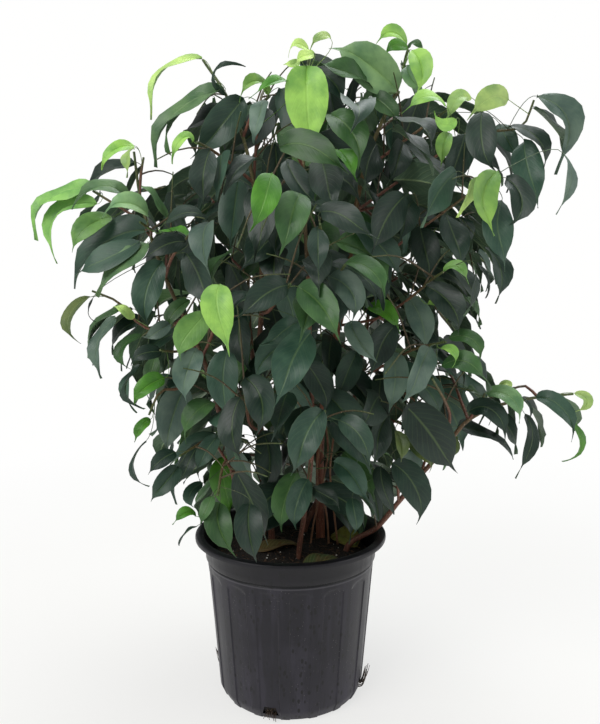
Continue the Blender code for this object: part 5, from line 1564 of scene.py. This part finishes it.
def build_perlite(white):
    """White grains that stick out of the soil."""
    draw = random.Random(61)
    bm = bmesh.new()
    places = [on_soil(pixel) for pixel in PERLITE_PATCH] + [scattered(draw) for i in range(PERLITE_BITS)]
    front = notch_angles()[0]
    out, rise = NOTCH_GRAIN
    places.append(Vector((out * math.cos(front), out * math.sin(front), rise)))
    for place in places:
        size = draw.uniform(0.0006, 0.0017)
        squash = Matrix.Diagonal((1, draw.uniform(0.7, 1), draw.uniform(0.6, 0.9), 1))
        matrix = Matrix.Translation(place + Vector((0, 0, 0.4 * size))) @ random_turn(draw) @ squash
        add_lump(bm, place, matrix, size, 2, 0.45, 900)
    smooth_with_edges(bm)
    finished_piece(bm, "perlite_grains", ["potting_soil"], [white])


def build_bark_bits(brown):
    """Small chips of bark and peat on the soil."""
    draw = random.Random(62)
    bm = bmesh.new()
    for i in range(BARK_BITS):
        place = scattered(draw)
        size = draw.uniform(0.0012, 0.0046)
        shape = Matrix.Diagonal((size, size * draw.uniform(0.35, 0.8), size * draw.uniform(0.2, 0.45), 1))
        add_lump(bm, place, Matrix.Translation(place) @ random_turn(draw) @ shape, 0.7, 1, 0.5, 700)
    finished_piece(bm, "bark_chips", ["potting_soil"], [brown])


def add_fibre(bm, layer, draw):
    """A fine root that lies on the soil."""
    place = scattered(draw, 0.012)
    turn = draw.uniform(0, 2 * math.pi)
    path = []
    for step in range(FIBRE_STEPS):
        turn += draw.uniform(-0.6, 0.6)
        path.append(place + Vector((0, 0, 0.0006 + draw.uniform(0.0, 0.0016))))
        place = place + Vector((math.cos(turn), math.sin(turn), 0)) * FIBRE_STEP
        place.z = soil_height(place.x, place.y)
    colour = mixed(ROOT_DARK, ROOT_TAN, draw.random())
    add_tube(bm, layer, path, [FIBRE_RADIUS] * FIBRE_STEPS, 4, [colour] * FIBRE_STEPS)


def add_tuft(bm, layer, angle, draw):
    """A tuft of roots through a notch: those at the pot's sides climb, those at its front lie flat."""
    outward = Vector((math.cos(angle), math.sin(angle), 0))
    sideways = Vector((-math.sin(angle), math.cos(angle), 0))
    reaches, climbs = (SIDE_ROOT_REACH, ROOT_CLIMB) if abs(outward.y) < 0.5 else (FRONT_ROOT_REACH, ROOT_DROP)
    for i in range(TUFT_ROOTS):
        slide = (i / (TUFT_ROOTS - 1) - 0.5) * 0.62 * NOTCH_WIDTH
        start = outward * (ROOT_START_RADIUS - 0.004) + sideways * slide
        start.z = ROOT_START_HEIGHT + draw.uniform(-0.003, 0.0035)
        reach = draw.uniform(*reaches)
        lean = sideways * draw.uniform(*ROOT_LEAN)
        bow = Vector((0, 0, draw.uniform(-0.002, 0.001)))
        climb = draw.uniform(*climbs)
        path = smooth_path([
            start,
            start + outward * (0.50 * reach) + lean * 0.2 + bow * 0.5,
            start + outward * (0.80 * reach) + lean * 0.7 + bow + Vector((0, 0, 0.2 * climb)),
            start + outward * reach + lean * 1.4 + Vector((0, 0, climb)),
        ], 0.004)
        thick = draw.uniform(*ROOT_THICK)
        radii = [thick * (1 - 0.6 * k / (len(path) - 1)) for k in range(len(path))]
        colour = mixed(ROOT_DARK, ROOT_TAN, 0.15 * draw.random())
        add_tube(bm, layer, path, radii, 5, [colour] * len(path))


def build_roots(root_material):
    """Fine fibres on the soil, and tufts of roots that have grown out through the notches."""
    draw = random.Random(63)
    bm = bmesh.new()
    layer = bm.verts.layers.float_color.new("bark")
    for i in range(FIBRES):
        add_fibre(bm, layer, draw)
    for angle in notch_angles():
        add_tuft(bm, layer, angle, draw)
    smooth_with_edges(bm)
    finished_piece(bm, "fine_roots", ["potting_soil"], [root_material])


def build_fallen_leaves(upper, lower):
    for i, (middle, bearing, face, tone) in enumerate(FALLEN_LEAVES):
        heading = Vector((math.cos(math.radians(bearing)), math.sin(math.radians(bearing)), 0))
        half = heading * (0.5 * LEAF_LENGTH * FALLEN_SIZE)
        sag = Vector((0, 0, FALLEN_SAG))
        base = middle - half - sag
        tip = middle + half - sag
        width = LEAF_LENGTH * FALLEN_SIZE * LEAF_WIDTH_RATIO
        leaf = Leaf("soil", base - heading * (0.5 * STALK_LENGTH), base, middle, tip, face, width, FULL_ROWS)
        leaf.tone = tone
        bm = blades_mesh([leaf], 80 + i, 8, 16)
        layer = bm.verts.layers.float_color["tone"]
        path = [leaf.root, leaf.root.lerp(leaf.base, 0.5), leaf.base, leaf.midrib(0.05)]
        add_tube(bm, layer, path, [0.0007, 0.0006, 0.0006, 0.0004], 6, [tone] * 4)
        smooth_with_edges(bm, 60.0)
        name = "fallen_leaf_%d" % (i + 1)
        finished_piece(bm, "old_leaf_%d" % (i + 1), [name], [upper, lower])


# Materials

def maths_by(operation):
    """A method that joins a value and another with a Math node."""
    return lambda value, other: value.maths(operation, other)


class Value:
    """A node's output, on which arithmetic adds Math nodes."""

    def __init__(self, finish, socket):
        self.finish = finish
        self.socket = socket

    def maths(self, operation, *others, clamp=False):
        settings = {"operation": operation, "use_clamp": clamp}
        return self.finish.node("ShaderNodeMath", settings, dict(enumerate((self,) + others)))

    __add__ = __radd__ = maths_by("ADD")
    __sub__ = maths_by("SUBTRACT")
    __mul__ = __rmul__ = maths_by("MULTIPLY")
    __pow__ = maths_by("POWER")

    def __rsub__(self, other):
        return self * -1.0 + other

    def size(self):
        return self.maths("ABSOLUTE")

    def wave(self):
        """A sine wave of it, raised to run from 0 to 1."""
        return self.maths("SINE") * 0.5 + 0.5

    def clamped(self):
        return self.maths("ADD", 0.0, clamp=True)

    def steps(self, low, high):
        """0 below low, 1 above high and a smooth rise between."""
        settings = {"interpolation_type": "SMOOTHSTEP"}
        return self.finish.node("ShaderNodeMapRange", settings, {0: self, 1: low, 2: high, 3: 0.0, 4: 1.0})


def linear(colour):
    """A colour in linear light, from one of three parts as a screen shows it; all else stays as it is."""
    return screen_colour(*colour) if isinstance(colour, tuple) and len(colour) == 3 else colour


class Finish:
    """A Principled material and the nodes that feed it."""

    def __init__(self, name, colour, roughness, **settings):
        self.material = bpy.data.materials.new(name)
        self.material.use_nodes = True
        self.material.diffuse_color = linear(colour)
        self.tree = self.material.node_tree
        self.shader = self.tree.nodes["Principled BSDF"]
        self.set("Base Color", linear(colour))
        self.set("Roughness", roughness)
        for socket, value in settings.items():
            self.set(socket.replace("_", " "), value)

    def feed(self, socket, value):
        if isinstance(value, Value):
            self.tree.links.new(value.socket, socket)
        else:
            socket.default_value = value

    def node(self, kind, settings=None, inputs=None, output=0):
        """A new node: its settings first, then the values or links of its sockets."""
        made = self.tree.nodes.new(kind)
        for key, value in (settings or {}).items():
            setattr(made, key, value)
        for key, value in (inputs or {}).items():
            self.feed(made.inputs[key], value)
        return Value(self, made.outputs[output])

    def set(self, socket, value):
        self.feed(self.shader.inputs[socket], value)

    def place(self):
        return self.node("ShaderNodeTexCoord", output="Object")

    def stretched(self, *scale):
        return self.node("ShaderNodeMapping", None, {"Vector": self.place(), "Scale": scale})

    def noise(self, scale, detail=3.0, vector=None):
        inputs = {"Vector": vector or self.place(), "Scale": scale, "Detail": detail, "Roughness": 0.5}
        return self.node("ShaderNodeTexNoise", None, inputs, "Fac")

    def cells(self, scale, vector=None):
        inputs = {"Vector": vector or self.place(), "Scale": scale, "Randomness": 1.0}
        return self.node("ShaderNodeTexVoronoi", {"feature": "F1"}, inputs, "Distance")

    def attribute(self, name):
        return self.node("ShaderNodeAttribute", {"attribute_name": name}, None, "Color")

    def mix(self, share, first, second, blend="MIX"):
        settings = {"data_type": "RGBA", "blend_type": blend, "clamp_factor": True}
        return self.node("ShaderNodeMix", settings, {0: share, 6: linear(first), 7: linear(second)}, 2)

    def layers(self, colour, *coats):
        """A colour with others laid over it in turn, each given by its share and its colour."""
        for share, coat in coats:
            colour = self.mix(share, colour, coat)
        return colour

    def done(self, colour, roughness, height, distance):
        """The material, fed with its colour, its roughness and its relief."""
        self.set("Base Color", colour)
        self.set("Roughness", roughness)
        inputs = {"Strength": 1.0, "Distance": distance, "Height": height}
        self.set("Normal", self.node("ShaderNodeBump", None, inputs, "Normal"))
        return self.material

    def blade(self):
        """How far a point is from the midrib, the blade's colour, and from 0 to 1 the midrib, the side
        veins and the fine veins between them."""
        spot = self.node("ShaderNodeUVMap", {"uv_map": "blade"})
        across_blade = self.node("ShaderNodeSeparateXYZ", None, {0: spot}, 0)
        along_blade = self.node("ShaderNodeSeparateXYZ", None, {0: spot}, 1)
        off = (across_blade * 2.0 - 1.0).size()
        slant = along_blade - off * 0.26
        fade = 1.0 - off.steps(0.80, 0.98)
        midrib = 1.0 - off.steps(0.015, 0.085)
        side = (slant * (2 * math.pi * SIDE_VEINS)).wave() ** 10.0
        fine = (slant * (2 * math.pi * FINE_VEINS) + off * 3.0).wave() ** 4.0
        return off, self.attribute("tone"), midrib, side * fade, fine * fade


SIDE_VEINS = 13
FINE_VEINS = 39


def leaf_upper(name, roughness, coat):
    finish = Finish(name, DARK, roughness, Coat_Roughness=0.25, Coat_Weight=coat, Specular_IOR_Level=0.42)
    off, tone, midrib, side, fine = finish.blade()
    patch = finish.noise(38.0, 4.0).steps(0.30, 0.72)
    grain = finish.noise(520.0, 2.0)
    darker = finish.mix(1.0, tone, (0.62, 0.70, 0.66, 1.0), "MULTIPLY")
    lighter = finish.mix(1.0, tone, (1.35, 1.22, 1.10, 1.0), "MULTIPLY")
    pale = finish.mix(0.35, lighter, (150, 180, 100))
    colour = finish.layers(
        darker, (patch, lighter), (side * 0.07 + fine * 0.03, pale), (midrib * 0.38, pale),
        (off.steps(0.92, 1.0) * 0.12, pale),
    )
    return finish.done(colour, grain * 0.10 + patch * 0.08 + (roughness - 0.09),
                       grain * 0.10 - side * 0.22 - fine * 0.06 - midrib * 0.8, 0.0004)


def leaf_lower(name):
    finish = Finish(name, GREY, 0.58)
    off, tone, midrib, side, fine = finish.blade()
    patch = finish.noise(44.0, 3.0)
    pale = finish.mix(0.42, tone, (126, 156, 120))
    colour = finish.layers(pale, (patch * 0.3, tone), (midrib * 0.5 + side * 0.14, (158, 178, 124)))
    return finish.done(colour, patch * 0.12 + 0.52, midrib * 1.0 + side * 0.5 + fine * 0.15, 0.0005)


def bark_finish():
    """Smooth brown bark with pale dots and fine rings, fading to green where the wood is young."""
    finish = Finish("fig bark", BARK, 0.62)
    tone = finish.attribute("bark")
    ridges = finish.noise(1.0, 5.0, finish.stretched(420.0, 420.0, 60.0))
    rings = finish.noise(1.0, 3.0, finish.stretched(90.0, 90.0, 620.0))
    dots = 1.0 - finish.cells(1.0, finish.stretched(300.0, 300.0, 170.0)).steps(0.10, 0.26)
    colour = finish.layers(
        finish.mix(1.0, tone, (0.55, 0.50, 0.48, 1), "MULTIPLY"), (ridges.steps(0.35, 0.70), tone),
        (dots * 0.55, (168, 148, 118)), (rings.steps(0.55, 0.75) * 0.30, (84, 64, 50)),
    )
    return finish.done(colour, ridges * 0.25 + 0.48, ridges * 0.5 + dots * 0.6 - rings * 0.3, 0.0006)


def pot_plastic():
    """Black moulded plastic with dust and dried water streaks, a painted shadow under the collar's foot and a
    painted highlight along the wall's shoulder below it.
    """
    finish = Finish("nursery pot plastic", (46, 45, 51), 0.42, Specular_IOR_Level=0.36)
    height = finish.node("ShaderNodeSeparateXYZ", None, {0: finish.place()}, 2)
    cloud = finish.noise(16.0, 5.0)
    streaks = finish.noise(1.0, 4.0, finish.stretched(70.0, 70.0, 5.0)).steps(0.46, 0.66)
    runs = finish.noise(1.0, 3.0, finish.stretched(150.0, 150.0, 7.0)).steps(0.56, 0.70)
    specks = 1.0 - finish.cells(230.0).steps(0.05, 0.16)
    thinned = finish.noise(22.0, 2.0).steps(0.48, 0.66)
    drops = 1.0 - finish.cells(1.0, finish.stretched(125.0, 125.0, 72.0)).steps(0.18, 0.32)
    dropped = finish.noise(9.0, 2.0).steps(0.36, 0.50)
    grain = finish.noise(900.0, 2.0)
    low = 1.0 - height.steps(0.0, 0.10)
    dust = (cloud.steps(0.42, 0.78) * 0.35 + streaks * 0.30 + low * 0.22).clamped()
    collar = height.steps(COLLAR_FOOT_HEIGHT - 0.001, COLLAR_FOOT_HEIGHT)
    # Painted shadow: a dark line just under the collar's foot, where the collar overhangs the wall. Below it a
    # painted highlight: a thin pale band along the top of the wall.
    collar_shadow = height.steps(COLLAR_FOOT_HEIGHT - 0.0045, COLLAR_FOOT_HEIGHT - 0.0035) * (1.0 - collar)
    shoulder_highlight = height.steps(COLLAR_FOOT_HEIGHT - 0.0075, COLLAR_FOOT_HEIGHT - 0.006)
    shoulder_highlight = shoulder_highlight * (1.0 - height.steps(COLLAR_FOOT_HEIGHT - 0.0055, COLLAR_FOOT_HEIGHT - 0.0045))
    colour = finish.layers(
        (20, 18, 27), (dust, (58, 55, 66)), (runs * 0.70, (18, 17, 23)),
        (specks * thinned * 0.40, (140, 137, 136)), (drops * dropped * 0.9, (7, 6, 9)),
        (collar * 0.72, (9, 8, 13)), (collar_shadow * 0.85, (6, 6, 8)), (shoulder_highlight * 0.30, (104, 102, 108)),
    )
    return finish.done(colour, (dust * 0.28 + grain * 0.06 - runs * 0.08 + 0.36).clamped(),
                       grain * 0.25 + cloud * 0.5 + specks * thinned * 0.4, 0.0004)


def soil_mix():
    finish = Finish("potting mix", (40, 31, 24), 0.95)
    clods = finish.cells(210.0)
    crumbs = finish.cells(520.0)
    damp = finish.noise(24.0, 4.0)
    fibre = finish.noise(1.0, 4.0, finish.stretched(700.0, 90.0, 300.0)).steps(0.55, 0.75)
    colour = finish.layers(
        (42, 33, 26), (clods.steps(0.1, 0.7), (15, 12, 9)), (damp.steps(0.40, 0.70) * 0.6, (30, 22, 17)),
        (fibre * 0.5, (104, 78, 54)),
    )
    return finish.done(colour, damp * 0.2 + 0.78, clods * -0.8 - crumbs * 0.5 + fibre * 0.4, 0.0018)


def perlite_white():
    finish = Finish("perlite", (222, 220, 212), 0.85)
    pits = finish.cells(1900.0)
    stain = finish.noise(140.0, 3.0).steps(0.45, 0.75)
    colour = finish.mix(stain * 0.5, (228, 226, 218), (168, 154, 134))
    return finish.done(colour, pits * 0.2 + 0.75, pits, 0.0004)


def bark_chip():
    finish = Finish("bark chips", (66, 48, 34), 0.88)
    kind = finish.noise(110.0, 1.0).steps(0.35, 0.65)
    grain = finish.noise(1.0, 4.0, finish.stretched(900.0, 260.0, 400.0))
    colour = finish.layers((38, 27, 20), (kind, (98, 72, 50)), (grain.steps(0.5, 0.8) * 0.5, (22, 16, 12)))
    return finish.done(colour, grain * 0.2 + 0.75, grain, 0.0006)


def old_leaf(name):
    """A leaf that has begun to dry, with brown patches and raised veins."""
    finish = Finish(name, OLIVE, 0.62)
    off, tone, midrib, side, fine = finish.blade()
    blotch = finish.noise(70.0, 5.0).steps(0.46, 0.62)
    spots = 1.0 - finish.cells(300.0).steps(0.08, 0.22)
    colour = finish.layers(
        tone, (blotch * 0.65, (96, 72, 42)), (spots * 0.5, (58, 42, 28)),
        (off.steps(0.75, 1.0) * 0.5, (110, 80, 48)), (midrib * 0.6 + side * 0.3, (152, 138, 88)),
    )
    return finish.done(colour, blotch * 0.2 + 0.48,
                       fine * 0.2 + side * 0.5 + midrib * 0.8 + blotch * 0.3, 0.0006)


# The stage, the lights and the camera

STAGE_WHITE = (1.0, 1.0, 0.995, 1.0)
STAGE_REACH = 9.0
FLOOR_GLOW = 0.66
FADE_FROM = 0.4
FADE_TO = 1.8
WORLD_SEEN = 1.0
WORLD_LIGHT = 0.45
WORLD_COLOUR = (0.97, 1.0, 1.0, 1.0)
LAMPS_AIM = Vector((0.0, 0.0, 0.5))
# Each lamp: its name, its place, its size, its power and its colour
LAMPS = [
    ("key", (-1.5, -1.7, 2.3), 2.0, 46.0, (1.0, 0.99, 0.98)),
    ("sky", (0.5, 0.9, 2.7), 2.2, 42.0, (0.95, 0.98, 1.0)),
    ("side", (2.2, -0.6, 1.2), 1.6, 10.0, (1.0, 1.0, 1.0)),
]


def build_stage():
    """A pale floor that fades into the background."""
    bm = bmesh.new()
    bmesh.ops.create_circle(bm, cap_ends=True, segments=96, radius=STAGE_REACH)
    mesh = mesh_of(bm, "pale_floor")
    finish = Finish("pale floor", (0.86, 0.845, 0.80, 1.0), 0.75)
    # Painted shade of faint folds in the cloth: the flat floor's colour is mottled a little darker where folds
    # would be shaded
    fold_shade = finish.noise(1.6, 4.0)
    finish.set("Base Color", finish.mix(fold_shade, (0.88, 0.865, 0.83, 1.0), (0.82, 0.80, 0.75, 1.0)))
    away = finish.node("ShaderNodeVectorMath", {"operation": "LENGTH"}, {0: finish.place()}, "Value")
    far = away.steps(FADE_FROM, FADE_TO) * (1.0 - FLOOR_GLOW) + FLOOR_GLOW
    glow = finish.node("ShaderNodeEmission", None, {"Color": STAGE_WHITE, "Strength": WORLD_SEEN})
    shader = Value(finish, finish.shader.outputs[0])
    blend = finish.node("ShaderNodeMixShader", None, {0: far, 1: shader, 2: glow})
    finish.feed(finish.tree.nodes["Material Output"].inputs["Surface"], blend)
    mesh.materials.append(finish.material)
    floor = linked("pale_floor", mesh)


def light_stage():
    world = bpy.data.worlds.new("studio")
    world.use_nodes = True
    tree = world.node_tree
    seen = tree.nodes["Background"]
    shone = tree.nodes.new("ShaderNodeBackground")
    for shader, colour, strength in ((seen, STAGE_WHITE, WORLD_SEEN), (shone, WORLD_COLOUR, WORLD_LIGHT)):
        shader.inputs["Color"].default_value = colour
        shader.inputs["Strength"].default_value = strength
    path = tree.nodes.new("ShaderNodeLightPath")
    blend = tree.nodes.new("ShaderNodeMixShader")
    tree.links.new(path.outputs["Is Camera Ray"], blend.inputs[0])
    tree.links.new(shone.outputs[0], blend.inputs[1])
    tree.links.new(seen.outputs[0], blend.inputs[2])
    tree.links.new(blend.outputs[0], tree.nodes["World Output"].inputs["Surface"])
    bpy.context.scene.world = world
    for name, place, size, power, colour in LAMPS:
        lamp = bpy.data.lights.new(name, "AREA")
        lamp.shape = "DISK"
        lamp.size = size
        lamp.energy = power
        lamp.color = colour
        thing = linked(name, lamp)
        thing.location = place
        thing.rotation_euler = (LAMPS_AIM - Vector(place)).to_track_quat("-Z", "Y").to_euler()
    bpy.context.scene.view_settings.view_transform = "Standard"


def place_camera():
    camera = bpy.data.cameras.new("picture_view")
    camera.sensor_width = SENSOR_MM
    camera.lens = PHOTO_FOCAL_PX * SENSOR_MM / PHOTO_HEIGHT_PX
    thing = linked("picture_view", camera)
    thing.location = CAMERA_AT
    thing.rotation_euler = (math.pi / 2 - CAMERA_PITCH, 0.0, 0.0)
    bpy.context.scene.camera = thing


def main():
    place_camera()
    build_stage()
    light_stage()
    crown = dressed_crown()
    bark = bark_finish()
    build_leaves(crown, leaf_upper("fig leaf", 0.45, 0.03), leaf_lower("fig leaf underside"))
    for name in STEMS:
        build_wood(crown, name, bark)
    build_pot(pot_plastic())
    build_soil(soil_mix())
    build_perlite(perlite_white())
    build_bark_bits(bark_chip())
    build_roots(bark)
    build_fallen_leaves(old_leaf("old leaf"), old_leaf("old leaf underside"))


main()
